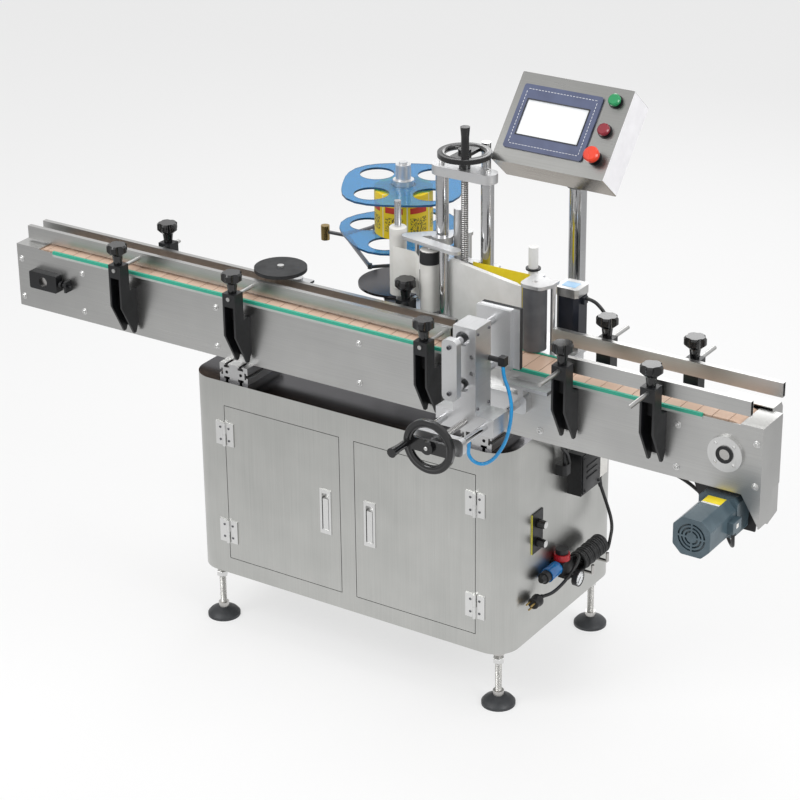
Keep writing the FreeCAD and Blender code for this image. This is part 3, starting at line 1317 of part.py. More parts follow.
def regulator():
    z = side_z + 300
    body = block(side_x, side_x + 36, side_y + 163, side_y + 207, z - 22, z + 15)
    bowl = round_bar("y", 34, side_y + 120, side_y + 163, side_x + 18, z)
    cup = round_bar("y", 28, side_y + 104, side_y + 120, side_x + 18, z)
    tip = cone("y", 14, 22, side_y + 92, side_y + 104, side_x + 18, z)
    dial = round_bar("z", 38, z + 15, z + 30, side_x + 20, side_y + 185)
    crown = round_bar("z", 30, z + 30, z + 42, side_x + 20, side_y + 185)
    stem = round_bar("x", 9, side_x + 35, side_x + 51, side_y + 196, z - 30)
    arm = block(side_x + 20, side_x + 36, side_y + 188, side_y + 204, z - 38, z - 20)
    gauge = round_bar("x", 38, side_x + 50, side_x + 62, side_y + 196, z - 30)
    node("air_regulator", merged(body, bowl, cup, tip, dial, crown, stem, arm, gauge))


regulator()
dial_y = side_y + 100
dial_levels = {"speed_knob_upper": side_z + 441, "speed_knob_lower": side_z + 393}


def fittings():
    plate = block(side_x, side_x + 3, side_y + 78, side_y + 125, side_z + 368, side_z + 469)
    pins = []
    for z in dial_levels.values():
        pins.append(round_bar("x", 8, side_x + 3, side_x + 12, dial_y, z))
    black_box = block(side_x, side_x + 36, side_y + 240, side_y + 330, side_z + 455, side_z + 560)
    white_box = block(side_x, side_x + 32, side_y + 331, side_y + 372, side_z + 463, side_z + 560)
    gland = round_bar("z", 16, side_z + 455, side_z + 463, side_x + 18, side_y + 355)
    outlet = prism("XY", [(side_x, side_y + 183), (side_x + 26, side_y + 183), (side_x + 26, side_y + 215),
                          (side_x, side_y + 215)], side_z + 527, side_z + 553, rounds=[(9, (1, 2))])
    rests = []
    for y in (side_y + 250, side_y + 320):
        z = side_z + 290 - 26 - 4.3
        rests.append(round_bar("x", 8, side_x, side_x + 66, y, z))
        rests.append(round_bar("z", 8, z, z + 22, side_x + 66, y))
    node("side_fittings", collected(merged(plate, *pins), black_box, merged(white_box, gland), outlet,
                                    merged(*rests[:2]), merged(*rests[2:])))
    for name, z in dial_levels.items():
        grip = round_bar("x", s.dial_dia, side_x + 3.3, side_x + 9, dial_y, z)
        cap = cone("x", s.dial_dia, s.dial_dia - 4, side_x + 9, side_x + 25, dial_y, z)
        pointer = block(side_x + 24, side_x + 26, dial_y - 1, dial_y + 1, z, z + 8)
        bore = round_bar("x", 8 + s.fit * 2, side_x - 1, side_x + 12.3, dial_y, z)
        node(name, less(merged(grip, cap, pointer), bore))


fittings()

# Cables, hose and cord
STEPPER_CABLE = [(485.5, 132, 979), (506, 134.5, 974), (526, 140.5, 952), (537, 146.5, 915), (535, 151.5, 868),
                 (519, 155.5, 812), (491, 158.5, 748), (463, 158.5, 680), (440, 156, 622), (427, 150, 582),
                 (427, 150, 553)]
MOTOR_CABLE = [(958, -72.5, 629), (958, -72.5, 610), (954, -62.5, 588), (941, -38.5, 573), (919, -9.5, 569),
               (894, 21.5, 576), (868, 33.5, 600), (834, 35.5, 632), (790, 31.5, 660), (727, 29.5, 676),
               (640, 32.5, 680), (560, 30.5, 676), (497, 44.5, 658), (459, 79.5, 632), (440, 118, 606),
               (434, 150, 582), (434, 161, 553)]
AIR_HOSE = [(442, -150, 916), (442, -150, 893), (458, -151, 862), (467, -152, 816), (459, -158, 751),
            (440, -166, 711), (424, -172, 692), (405, -178, 683), (387, -183, 689), (378, -188, 706),
            (384, -193, 727), (384, -193, 746)]
CORD_FEED = [(429, 309, 455), (431, 317, 428), (434, 329, 398), (438, 340, 370), (443, 348, 338),
             (447, 341, 308), (449, 322, 292), (449, 300, 288)]
CORD_TAIL = [(454, 178, 301), (459, 152, 300), (456, 125, 282), (447, 100, 262), (437, 75, 252), (429, 52, 256)]


def cables():
    node("machine_cables", shaped(Part.makeCompound([
        tube("stepper cable", STEPPER_CABLE, 8),
        tube("motor cable", MOTOR_CABLE, 8),
    ])))
    node("air_hose", shaped(tube("air hose", AIR_HOSE, 8)))
    node("power_cord", shaped(Part.makeCompound([
        tube("cord from the box to the hank", CORD_FEED, 8),
        tube("cord from the hank to the plug", CORD_TAIL, 8),
    ])))
    hank = Part.makeCylinder(26, 122, Vector(447, float(line) + 178, 290), Vector(0, 1, 0))
    node("cord_coil", shaped(hank.makeFillet(7, [e for e in hank.Edges if e.Length > 150])))
    end = float(line) + 52
    relief = Part.makeCone(5, 8, 16, Vector(429, end, 256), Vector(0, -1, 0))
    grip = Part.makeCylinder(14, 26, Vector(429, end - 16, 256), Vector(0, -1, 0))
    grip = grip.makeChamfer(2.5, [e for e in grip.Edges if e.Length > 80])
    pins = [Part.makeCylinder(2.2, 19, Vector(429 + dx, end - 41.5, 256 + dz), Vector(0, -1, 0))
            for dx, dz in ((-6, 4), (6, 4), (0, -7))]
    node("plug", shaped(relief.fuse([grip, *pins])))


cables()

doc.recompute()
faults = [obj.Label for obj in doc.Objects if {"Invalid", "Error"} & set(obj.State)]
if faults:
    raise RuntimeError(f"failed objects: {faults}")
os.makedirs("parts", exist_ok=True)
for name, obj in nodes.items():
    if obj.Shape.isNull() or not obj.Shape.isValid() or not obj.Shape.Solids:
        raise RuntimeError(f"bad shape: {name}")
    print(f"{name}: {len(obj.Shape.Solids)} solids, {obj.Shape.Volume / 1000:.1f} cm3")
for name, obj in nodes.items():
    obj.Shape.exportStep(f"parts/{name}.step")
print(len(nodes), "sub-parts")
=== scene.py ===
# %% [markdown]
# A labelling machine for round bottles. A slat chain carries the bottles between two
# rows of guide rails, a label head hangs from two chrome posts, and a press pad rolls
# each bottle against a rubber roller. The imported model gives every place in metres,
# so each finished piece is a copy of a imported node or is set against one.

import json
import math

import bmesh
import bpy
from mathutils import Matrix, Vector


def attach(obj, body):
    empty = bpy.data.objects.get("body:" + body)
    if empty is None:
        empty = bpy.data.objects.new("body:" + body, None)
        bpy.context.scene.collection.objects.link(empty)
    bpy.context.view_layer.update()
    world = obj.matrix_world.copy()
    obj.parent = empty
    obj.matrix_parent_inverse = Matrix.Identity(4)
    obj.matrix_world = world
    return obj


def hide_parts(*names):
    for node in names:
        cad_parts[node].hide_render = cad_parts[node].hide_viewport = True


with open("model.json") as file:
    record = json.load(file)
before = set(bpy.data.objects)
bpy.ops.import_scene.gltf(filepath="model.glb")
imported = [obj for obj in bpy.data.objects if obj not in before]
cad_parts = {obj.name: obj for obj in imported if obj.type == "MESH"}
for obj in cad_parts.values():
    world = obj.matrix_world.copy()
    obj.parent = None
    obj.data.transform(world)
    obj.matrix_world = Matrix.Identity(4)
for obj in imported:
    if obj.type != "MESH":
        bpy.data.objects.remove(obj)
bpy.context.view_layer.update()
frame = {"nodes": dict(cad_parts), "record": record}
nodes = frame["nodes"]
print("nodes loaded:", len(nodes))

# %% [markdown]
# The camera stands where the photographer stood: a little over five metres away,
# to the right and above, with a long lens, so that upright lines stay nearly parallel.
# Its three axes come from the azimuth, the height angle and a very small roll.

# %% Camera
AZIMUTH, HEIGHT_ANGLE, ROLL = (math.radians(v) for v in (33.3395, 24.8739, -0.6966))
LENS_MM = 115.48
CAMERA_PLACE = (2.987698, -4.447154, 3.139972)
back = Vector((math.sin(AZIMUTH) * math.cos(HEIGHT_ANGLE),
               -math.cos(AZIMUTH) * math.cos(HEIGHT_ANGLE), math.sin(HEIGHT_ANGLE)))
level = Vector((0, 0, 1)).cross(back).normalized()
raised = back.cross(level)
across = level * math.cos(ROLL) + raised * math.sin(ROLL)
upward = raised * math.cos(ROLL) - level * math.sin(ROLL)
camera = bpy.data.objects.new("camera", bpy.data.cameras.new("camera"))
camera.data.lens = LENS_MM
camera.data.sensor_width = 36
camera.data.clip_end = 60
camera.matrix_world = (Matrix.Translation(CAMERA_PLACE)
                       @ Matrix((across, upward, back)).transposed().to_4x4())
bpy.context.scene.collection.objects.link(camera)
bpy.context.scene.camera = camera
print("camera at", [round(v, 2) for v in camera.matrix_world.translation])

# %% [markdown]
# Two small helpers serve every finish. Colours are written as screen values, and one
# function turns them into the linear numbers that a shader wants. The other adds a
# node with its settings and its links, so that a material reads like a short recipe.

# %% Colour and node helpers
MM = 0.001


def colour(code):
    """Linear colour of six sRGB hex digits."""
    shares = [int(code[i:i + 2], 16) / 255 for i in (0, 2, 4)]
    linear = [v / 12.92 if v <= 0.04045 else ((v + 0.055) / 1.055) ** 2.4 for v in shares]
    return (*linear, 1.0)


def add_node(tree, kind, settings=(), links=()):
    """A shader node; settings and links are pairs, named by input or by property."""
    made = tree.nodes.new(kind)
    for name, value in settings:
        if isinstance(name, int) or name in made.inputs:
            made.inputs[name].default_value = value
        else:
            setattr(made, name, value)
    for name, output in links:
        tree.links.new(output, made.inputs[name])
    return made


def new_material(name):
    """An empty node material with its surface shader and its output."""
    made = bpy.data.materials.new(name)
    made.use_nodes = True
    tree = made.node_tree
    tree.nodes.clear()
    shader = add_node(tree, "ShaderNodeBsdfPrincipled")
    add_node(tree, "ShaderNodeOutputMaterial", links=[("Surface", shader.outputs[0])])
    return made, tree, shader


def grain(tree, cell_mm, detail=3.0):
    """Noise in object space whose cells measure cell_mm along x, y and z."""
    place = add_node(tree, "ShaderNodeTexCoord")
    scale = tuple(1 / (v * MM) for v in cell_mm)
    sized = add_node(tree, "ShaderNodeMapping", [("Scale", scale)],
                     [("Vector", place.outputs["Object"])])
    return add_node(tree, "ShaderNodeTexNoise",
                    [("Scale", 1.0), ("Detail", detail), ("Roughness", 0.6)],
                    [("Vector", sized.outputs[0])])


def spread(tree, source, low, high, start=0.3, stop=0.7):
    """The source's middle range spread over low to high."""
    return add_node(tree, "ShaderNodeMapRange",
                    [("From Min", start), ("From Max", stop), ("To Min", low), ("To Max", high)],
                    [("Value", source)])


def blend_colours(tree, factor, first, second):
    """A colour between two others by a factor; its colour comes out of output 2."""
    return add_node(tree, "ShaderNodeMix", [("data_type", "RGBA"), (6, first), (7, second)],
                    [(0, factor)])


def relief(tree, shader, height, depth_mm, strength=0.5):
    """Bump of a real depth from a height pattern."""
    bump = add_node(tree, "ShaderNodeBump", [("Strength", strength), ("Distance", depth_mm * MM)],
                    [("Height", height)])
    tree.links.new(bump.outputs[0], shader.inputs["Normal"])


# %% [markdown]
# Stainless sheet is brushed with an abrasive belt, which leaves fine straight scratches
# in one direction. Noise cells that are long one way and a fraction of a millimetre the
# other way give that look; they are drawn near 1 mm wide, coarser than real scratches, so
# that they still show from five metres away. A slow cloud adds handling marks.

# %% Brushed and satin metals


def brushed_metal(name, light, dark, scratch_mm, rough=(0.26, 0.40), depth=0.01):
    """Metal with long fine scratches; scratch_mm is a scratch's size along x, y and z."""
    made, tree, shader = new_material(name)
    shader.inputs["Metallic"].default_value = 1.0
    lines = grain(tree, scratch_mm, 4.0)
    cloud = grain(tree, (140, 140, 140), 2.0)
    tone = spread(tree, lines.outputs[0], 0.0, 1.0)
    marks = spread(tree, cloud.outputs[0], 0.0, 0.45)
    both = add_node(tree, "ShaderNodeMath", [("operation", "MULTIPLY_ADD"), (1, 0.55)],
                    [(0, tone.outputs[0]), (2, marks.outputs[0])])
    mixed = blend_colours(tree, both.outputs[0], colour(light), colour(dark))
    tree.links.new(mixed.outputs[2], shader.inputs["Base Color"])
    gloss = spread(tree, both.outputs[0], rough[0], rough[1], 0.0, 1.0)
    tree.links.new(gloss.outputs[0], shader.inputs["Roughness"])
    relief(tree, shader, lines.outputs[0], depth, 0.35)
    return made


def cast_surface(name, light, dark, grain_mm, rough, depth, metallic=0.0, strength=0.4, coat=0.0):
    """Moulded, painted or rubbery skin: fine grain, a slow change of tone, a soft gloss."""
    made, tree, shader = new_material(name)
    shader.inputs["Metallic"].default_value = metallic
    shader.inputs["Coat Weight"].default_value = coat
    shader.inputs["Coat Roughness"].default_value = 0.12
    fine = grain(tree, (grain_mm,) * 3, 3.0)
    slow = grain(tree, (45, 45, 45), 2.0)
    tone = spread(tree, slow.outputs[0], 0.0, 1.0)
    mixed = blend_colours(tree, tone.outputs[0], colour(light), colour(dark))
    tree.links.new(mixed.outputs[2], shader.inputs["Base Color"])
    gloss = spread(tree, slow.outputs[0], rough[0], rough[1])
    tree.links.new(gloss.outputs[0], shader.inputs["Roughness"])
    relief(tree, shader, fine.outputs[0], depth, strength)
    return made


# Sheet and plate: the fine lines spread the light into a soft streak across the grain.
brushed_upright = brushed_metal("stainless_sheet_brushed_upright", "C3C3C0", "B3B4B1",
                                (1.0, 1.0, 160))
brushed_along = brushed_metal("stainless_plate_brushed_along", "C8C8C6", "B6B6B5", (220, 1.1, 1.1))
# Painted shade and painted reflection: the cabinet's polished top and the disc under the reel get a
# dark steel colour that stands for the shade and the dark mirror image on them.
painted_shade_steel = brushed_metal("stainless_painted_shade_and_reflection", "59585B", "454447", (260, 1.4, 1.4),
                           (0.14, 0.24))
# Satin chrome is paler than the sheet, so hinges, pulls and screws stand out from it.
bright_trim = brushed_metal("hinge_and_pull_satin_chrome", "E2E2E1", "D2D2D1", (1.0, 1.0, 24),
                            (0.28, 0.38))
# Painted light and shade on one steel case: its front is painted grey and its underside brownish grey
# as shade, and its side nearly white as light.
case_front_painted_shade = brushed_metal("case_steel_front_painted_shade", "8E8E8C", "7C7C7A", (200, 1.1, 1.1),
                           (0.26, 0.36))
case_under_painted_shade = brushed_metal("case_steel_underside_painted_shade", "A39C92", "8D867C", (200, 1.1, 1.1),
                           (0.2, 0.3))
case_side_painted_light = cast_surface("case_steel_side_painted_light", "FAF9FC", "F0EFF2", 0.8, (0.34, 0.44),
                         0.02)
# Burnished and satin rods are darker, with highlights that run along them.
dark_steel = brushed_metal("linkage_steel_burnished", "77777A", "5C5C60", (1.0, 14, 1.0),
                           (0.24, 0.36))
satin_rod = brushed_metal("stainless_rod_satin", "C9C7C4", "AFADAB", (6, 6, 0.9), (0.18, 0.3),
                          0.005)
# Ground chrome mirrors the room almost sharply, in light and dark upright bands.
chrome = brushed_metal("hard_chrome_ground", "D6D6D7", "BFC0C2", (30, 30, 1.2), (0.07, 0.14), 0.002)
# Anodised and extruded aluminium look even and pale, with a wide soft highlight.
satin_aluminium = brushed_metal("anodised_aluminium_satin", "DEDEDF", "CDCECF", (1.4, 40, 1.4),
                                (0.34, 0.46))
extruded_aluminium = brushed_metal("extruded_aluminium", "D2D2D2", "B4B4B4", (1.2, 120, 1.2),
                                   (0.3, 0.42))
# Brass glows warm, with faint rings left by the turning tool.
turned_brass = brushed_metal("turned_brass", "B9A06A", "8E7848", (5, 5, 0.7), (0.22, 0.34), 0.004)
# Powder coat is a bright matt skin with a faint orange peel.
white_enamel = cast_surface("white_powder_coat", "E4E4E2", "D9D9D6", 1.2, (0.34, 0.44), 0.05)
# The blacks differ in gloss: grained nylon looks dull and polished phenolic shines.
black_moulding = cast_surface("black_glass_filled_nylon", "17181B", "0E0F11", 1.4, (0.34, 0.5),
                              0.12)
black_gloss = cast_surface("black_phenolic_polished", "121214", "0B0B0C", 2.2, (0.14, 0.24),
                           0.03, coat=0.4)
# Rubber takes hardly a highlight, so it looks softer than the plastics.
black_rubber = cast_surface("black_rubber_vulcanised", "232426", "17181A", 0.9, (0.55, 0.7), 0.15)
grey_rubber = cast_surface("dark_grey_rubber_ground", "5C5D60", "4B4C4F", 0.8, (0.38, 0.5), 0.1)
pad_grey = cast_surface("foot_pad_nylon_grey", "3E4043", "2E3033", 1.5, (0.4, 0.56), 0.15)
# Enamelled motors have a gentle sheen over a pebbled skin.
motor_enamel = cast_surface("motor_enamel_blue_grey", "53656E", "43545D", 1.6, (0.26, 0.36),
                            0.1, coat=0.2)
stepper_black = cast_surface("stepper_lamination_black", "20232E", "171A22", 1.0, (0.3, 0.44), 0.08)
# Waxy white plastic, paper and label stock are bright and flat, with a fine tooth.
white_moulding = cast_surface("white_polypropylene", "E9E8E4", "DEDCD7", 1.8, (0.4, 0.52), 0.06)
label_paper = cast_surface("release_paper_white", "EFEEEA", "E4E2DC", 0.7, (0.45, 0.6), 0.04)
yellow_stock = cast_surface("label_stock_yellow", "F9E436", "F2D828", 0.8, (0.35, 0.5), 0.05)
# Dyed plastics have a deep colour under a clear sheen, so their edges light up.
acrylic_edge = cast_surface("acrylic_cut_edge_dark_blue", "0D527F", "083C61", 2.0, (0.2, 0.3),
                            0.02, coat=0.4)
hose_blue = cast_surface("polyurethane_tube_blue", "1A9ADA", "1286C4", 3.0, (0.18, 0.3), 0.02,
                         coat=0.3)
# The sheath is a little shiny, which draws a thin line of light along each turn.
cord_black = cast_surface("cord_sheath_black", "1B1C1E", "131415", 1.0, (0.36, 0.5), 0.08)
# The panel has a dull bezel, a glossy film and caps with a small sharp highlight.
bezel_blue = cast_surface("bezel_plastic_slate_blue", "4E5775", "434A66", 1.2, (0.36, 0.5), 0.08)
screen_white = cast_surface("display_film_white", "F2F4F5", "E9ECEE", 6.0, (0.12, 0.2), 0.01,
                            coat=0.5)
lens_green = cast_surface("button_cap_green", "129258", "0A7A44", 2.0, (0.2, 0.3), 0.02, coat=0.5)
lens_red = cast_surface("button_cap_dark_red", "900C28", "76081C", 2.0, (0.2, 0.3), 0.02, coat=0.5)
lens_orange = cast_surface("button_cap_orange_red", "E63A10", "CC2C0A", 2.0, (0.22, 0.32),
                           0.03, coat=0.4)
# The small accents are saturated, so that they are found at once from afar.
bowl_blue = cast_surface("filter_bowl_blue", "1A7FC4", "0F5FA5", 3.0, (0.12, 0.2), 0.02, coat=0.6)
ring_red = cast_surface("dial_ring_red", "C4202A", "A3161F", 2.0, (0.25, 0.35), 0.03)
label_pale_blue = cast_surface("label_stock_pale_blue", "A9CBE8", "97BEDF", 2.0, (0.35, 0.45), 0.02)
strip_yellow = cast_surface("warning_strip_yellow", "E6E05A", "D8CF3E", 2.0, (0.35, 0.45), 0.02)
post_cream = cast_surface("post_sleeve_cream", "E9E3B8", "DDD6A4", 2.0, (0.3, 0.4), 0.03)
print("materials:", len(bpy.data.materials))

# %% [markdown]
# The chain's slats are acetal in a warm tan. Each slat is a separate moulding, so its tone
# differs slightly from its neighbours, and bottles polish a lighter band along the middle.
# The seams between slats are painted dark as shade in the gaps, drawn about a millimetre wide so that
# they show.

# %% Slat plastic
SLAT_PITCH = 1829 / 48
FIRST_SEAM = -908
SLATS_AHEAD = 10  # keeps the slats' numbers positive


def slat_plastic():
    made, tree, shader = new_material("acetal_slat_tan")
    place = add_node(tree, "ShaderNodeTexCoord")
    split = add_node(tree, "ShaderNodeSeparateXYZ", links=[(0, place.outputs["Object"])])
    count = add_node(tree, "ShaderNodeMath",
                     [("operation", "MULTIPLY_ADD"), (1, 1 / (SLAT_PITCH * MM)),
                      (2, SLATS_AHEAD - FIRST_SEAM / SLAT_PITCH)], [(0, split.outputs[0])])
    whole = add_node(tree, "ShaderNodeMath", [("operation", "FLOOR")], [(0, count.outputs[0])])
    chance = add_node(tree, "ShaderNodeTexWhiteNoise", [("noise_dimensions", "1D")],
                      [("W", whole.outputs[0])])
    mixed = blend_colours(tree, chance.outputs["Value"], colour("CEB09A"), colour("C2A28B"))
    worn = grain(tree, (60, 5, 60), 4.0)
    rubbed = spread(tree, worn.outputs[0], 0.0, 0.35)
    paler = add_node(tree, "ShaderNodeMix", [("data_type", "RGBA"), (7, colour("D8BFAC"))],
                     [(0, rubbed.outputs[0]), (6, mixed.outputs[2])])
    across = add_node(tree, "ShaderNodeMath", [("operation", "FRACT")], [(0, count.outputs[0])])
    off_middle = add_node(tree, "ShaderNodeMath", [("operation", "SUBTRACT"), (1, 0.5)],
                          [(0, across.outputs[0])])
    reach = add_node(tree, "ShaderNodeMath", [("operation", "ABSOLUTE")], [(0, off_middle.outputs[0])])
    # Painted shade: a dark brown line at each seam between slats.
    gap_painted_shade = spread(tree, reach.outputs[0], 0.0, 0.8, 0.478, 0.492)
    with_gap_painted_shade = add_node(tree, "ShaderNodeMix", [("data_type", "RGBA"), (7, colour("4E3A2F"))],
                      [(0, gap_painted_shade.outputs[0]), (6, paler.outputs[2])])
    tree.links.new(with_gap_painted_shade.outputs[2], shader.inputs["Base Color"])
    gloss = spread(tree, worn.outputs[0], 0.36, 0.52)
    tree.links.new(gloss.outputs[0], shader.inputs["Roughness"])
    fine = grain(tree, (1.2, 1.2, 1.2), 3.0)
    relief(tree, shader, fine.outputs[0], 0.06, 0.4)
    return made


slat_tan = slat_plastic()

# %% [markdown]
# The green wear strip gets a pale grey band along its lower edge, partly its carrier and partly a
# painted highlight along that edge.
# Both are one drawn section, so the height above the floor decides which colour is seen.

# %% Two-coloured wear strip
PALE_BAND_TOP = 858.5


def wear_plastic():
    made, tree, shader = new_material("wear_strip_green_polyethylene")
    place = add_node(tree, "ShaderNodeTexCoord")
    split = add_node(tree, "ShaderNodeSeparateXYZ", links=[(0, place.outputs["Object"])])
    high = add_node(tree, "ShaderNodeMath",
                    [("operation", "GREATER_THAN"), (1, PALE_BAND_TOP * MM)], [(0, split.outputs[2])])
    # Partly painted highlight: pale grey below the band's top height, green above.
    mixed = blend_colours(tree, high.outputs[0], colour("B4BAB6"), colour("2FA88C"))
    tree.links.new(mixed.outputs[2], shader.inputs["Base Color"])
    drawn = grain(tree, (120, 2.0, 2.0), 3.0)
    gloss = spread(tree, drawn.outputs[0], 0.3, 0.44)
    tree.links.new(gloss.outputs[0], shader.inputs["Roughness"])
    relief(tree, shader, drawn.outputs[0], 0.05, 0.4)
    return made


green_slide = wear_plastic()

# %% [markdown]
# Adjusting screws are cut with a trapezoid thread of 5 mm pitch. At this size a thread
# reads as fine rings, so a sine of the height, as deep as a real thread, stands for it, and
# its roots are painted darker as shade.
# The label roll is yellow stock with a red panel and small dark flecks on every label;
# the pattern runs round the roll, so its angle and its height give both coordinates.

# %% Threads and printed stock
THREAD_PITCH = 5.0
FOOT_PITCH = 3.0  # a real foot has 1.75 mm, drawn coarser so that it shows
ROLL_PLACE = (-107, 282.8, 961)
ROLL_HIGH = 106
LABELS_ROUND = 7


def threaded(name, along, pitch_mm, root_painted_shade="6E6C6A", crest="C6C5C4"):
    """Steel with rings of a thread along the x, y or z axis; the roots are painted darker as shade."""
    made, tree, shader = new_material(name)
    shader.inputs["Metallic"].default_value = 1.0
    place = add_node(tree, "ShaderNodeTexCoord")
    split = add_node(tree, "ShaderNodeSeparateXYZ", links=[(0, place.outputs["Object"])])
    phase = add_node(tree, "ShaderNodeMath",
                     [("operation", "MULTIPLY"), (1, 2 * math.pi / (pitch_mm * MM))],
                     [(0, split.outputs[along])])
    wave = add_node(tree, "ShaderNodeMath", [("operation", "SINE")], [(0, phase.outputs[0])])
    # Painted shade: the thread's roots are darker than its crests.
    tone = spread(tree, wave.outputs[0], 0.0, 1.0, -0.8, 0.4)
    mixed = blend_colours(tree, tone.outputs[0], colour(root_painted_shade), colour(crest))
    tree.links.new(mixed.outputs[2], shader.inputs["Base Color"])
    oil = grain(tree, (3, 3, 3), 2.0)
    gloss = spread(tree, oil.outputs[0], 0.22, 0.36)
    tree.links.new(gloss.outputs[0], shader.inputs["Roughness"])
    relief(tree, shader, wave.outputs[0], 0.8, 0.8)
    return made


def between(tree, value, low, high):
    """One where the value lies between low and high, and nought elsewhere."""
    above = add_node(tree, "ShaderNodeMath", [("operation", "GREATER_THAN"), (1, low)], [(0, value)])
    below = add_node(tree, "ShaderNodeMath", [("operation", "LESS_THAN"), (1, high)], [(0, value)])
    return add_node(tree, "ShaderNodeMath", [("operation", "MULTIPLY")],
                    [(0, above.outputs[0]), (1, below.outputs[0])])


def printed_stock():
    made, tree, shader = new_material("label_roll_printed_yellow")
    place = add_node(tree, "ShaderNodeTexCoord")
    centred = add_node(tree, "ShaderNodeMapping",
                       [("Location", tuple(-v * MM for v in ROLL_PLACE))],
                       [("Vector", place.outputs["Object"])])
    split = add_node(tree, "ShaderNodeSeparateXYZ", links=[(0, centred.outputs[0])])
    angle = add_node(tree, "ShaderNodeMath", [("operation", "ARCTAN2")],
                     [(0, split.outputs[1]), (1, split.outputs[0])])
    turns = add_node(tree, "ShaderNodeMath",
                     [("operation", "MULTIPLY"), (1, LABELS_ROUND / (2 * math.pi))],
                     [(0, angle.outputs[0])])
    label = add_node(tree, "ShaderNodeMath", [("operation", "FLOORED_MODULO"), (1, 1.0)],
                     [(0, turns.outputs[0])])
    height = add_node(tree, "ShaderNodeMath",
                      [("operation", "MULTIPLY"), (1, 1 / (ROLL_HIGH * MM))],
                      [(0, split.outputs[2])])
    flecks = grain(tree, (2.4, 2.4, 3.2), 1.0)
    small = between(tree, flecks.outputs[0], 0.53, 1.0)
    wide = between(tree, label.outputs[0], 0.14, 0.86)
    panel = between(tree, height.outputs[0], 0.60, 0.74)
    lines = between(tree, height.outputs[0], 0.16, 0.50)
    red_at = add_node(tree, "ShaderNodeMath", [("operation", "MULTIPLY")],
                      [(0, wide.outputs[0]), (1, panel.outputs[0])])
    dark_at = add_node(tree, "ShaderNodeMath", [("operation", "MULTIPLY")],
                       [(0, wide.outputs[0]), (1, lines.outputs[0])])
    specks = add_node(tree, "ShaderNodeMath", [("operation", "MULTIPLY")],
                      [(0, dark_at.outputs[0]), (1, small.outputs[0])])
    with_red = blend_colours(tree, red_at.outputs[0], colour("F2D01E"), colour("C8341E"))
    mixed = add_node(tree, "ShaderNodeMix", [("data_type", "RGBA"), (7, colour("4A4326"))],
                     [(0, specks.outputs[0]), (6, with_red.outputs[2])])
    gap = between(tree, label.outputs[0], 0.0, 0.05)
    parted = add_node(tree, "ShaderNodeMix", [("data_type", "RGBA"), (7, colour("E8E0B4"))],
                      [(0, gap.outputs[0]), (6, mixed.outputs[2])])
    tree.links.new(parted.outputs[2], shader.inputs["Base Color"])
    gloss = spread(tree, flecks.outputs[0], 0.34, 0.46)
    tree.links.new(gloss.outputs[0], shader.inputs["Roughness"])
    return made


screw_upright = threaded("screw_steel_upright", 2, THREAD_PITCH)
screw_across = threaded("screw_steel_across", 1, THREAD_PITCH)
foot_thread = threaded("foot_stem_thread_zinc", 2, FOOT_PITCH, "B0AFAC", "EFEEEA")
printed_roll = printed_stock()

# %% [markdown]
# The reel's discs are clear acrylic, dyed blue all through. Glass of the same colour is the
# honest recipe: light is tinted where it enters and again where it leaves, so the roll
# shows through in deeper tones, and the white room behind it turns azure. Acrylic bends
# light a little less than window glass, and its cut edges are painted as dark blue.

# %% Clear blue acrylic
ACRYLIC_BENDS = 1.49


def blue_acrylic():
    made, tree, shader = new_material("acrylic_blue_clear")
    shader.inputs["Base Color"].default_value = colour("3BAAEA")
    shader.inputs["Transmission Weight"].default_value = 0.78
    shader.inputs["IOR"].default_value = ACRYLIC_BENDS
    dust = grain(tree, (25, 25, 25), 3.0)
    gloss = spread(tree, dust.outputs[0], 0.01, 0.05)
    tree.links.new(gloss.outputs[0], shader.inputs["Roughness"])
    return made


acrylic = blue_acrylic()

# %% [markdown]
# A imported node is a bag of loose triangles, which a smooth finish would show as facets.
# Each rigid node therefore gets a copy whose doubles are merged and whose flat faces are
# joined. Edges below a chosen angle are shaded smooth and the rest stay crisp.

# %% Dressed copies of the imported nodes
body_of = {name: body for body, names in frame["record"]["behaviour"]["bodies"].items()
           for name in names}


def settle(mesh, smooth_angle=32):
    """Smooth shading that breaks at edges sharper than the angle."""
    bm = bmesh.new()
    bm.from_mesh(mesh)
    for face in bm.faces:
        face.smooth = True
    for edge in bm.edges:
        edge.smooth = edge.calc_face_angle(0) < math.radians(smooth_angle)
    bm.to_mesh(mesh)
    bm.free()


def link_piece(name, mesh, body, material):
    """A finished mesh becomes a piece that rides on a body."""
    made = bpy.data.objects.new(name, mesh)
    bpy.context.scene.collection.objects.link(made)
    if not mesh.materials:
        mesh.materials.append(material)
    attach(made, body)
    return made


def dress(name, material, smooth_angle=32):
    """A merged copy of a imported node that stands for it, with a finish for each of its regions."""
    bm = bmesh.new()
    bm.from_mesh(nodes[name].data)
    bmesh.ops.remove_doubles(bm, verts=bm.verts[:], dist=2e-6)
    bmesh.ops.dissolve_limit(bm, angle_limit=math.radians(0.4), verts=bm.verts[:],
                             edges=bm.edges[:])
    regions = regions_of.get(name, ())
    for face in bm.faces:
        middle = face.calc_center_median() / MM
        for index, (_, inside) in enumerate(regions, start=1):
            if inside(middle, face.normal):
                face.material_index = index
                break
    mesh = bpy.data.meshes.new(name + "_skin")
    bm.to_mesh(mesh)
    bm.free()
    for finish in (material, *(finish for finish, _ in regions)):
        mesh.materials.append(finish)
    settle(mesh, smooth_angle)
    made = link_piece(name + "_skin", mesh, body_of[name], material)
    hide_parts(name)
    return made


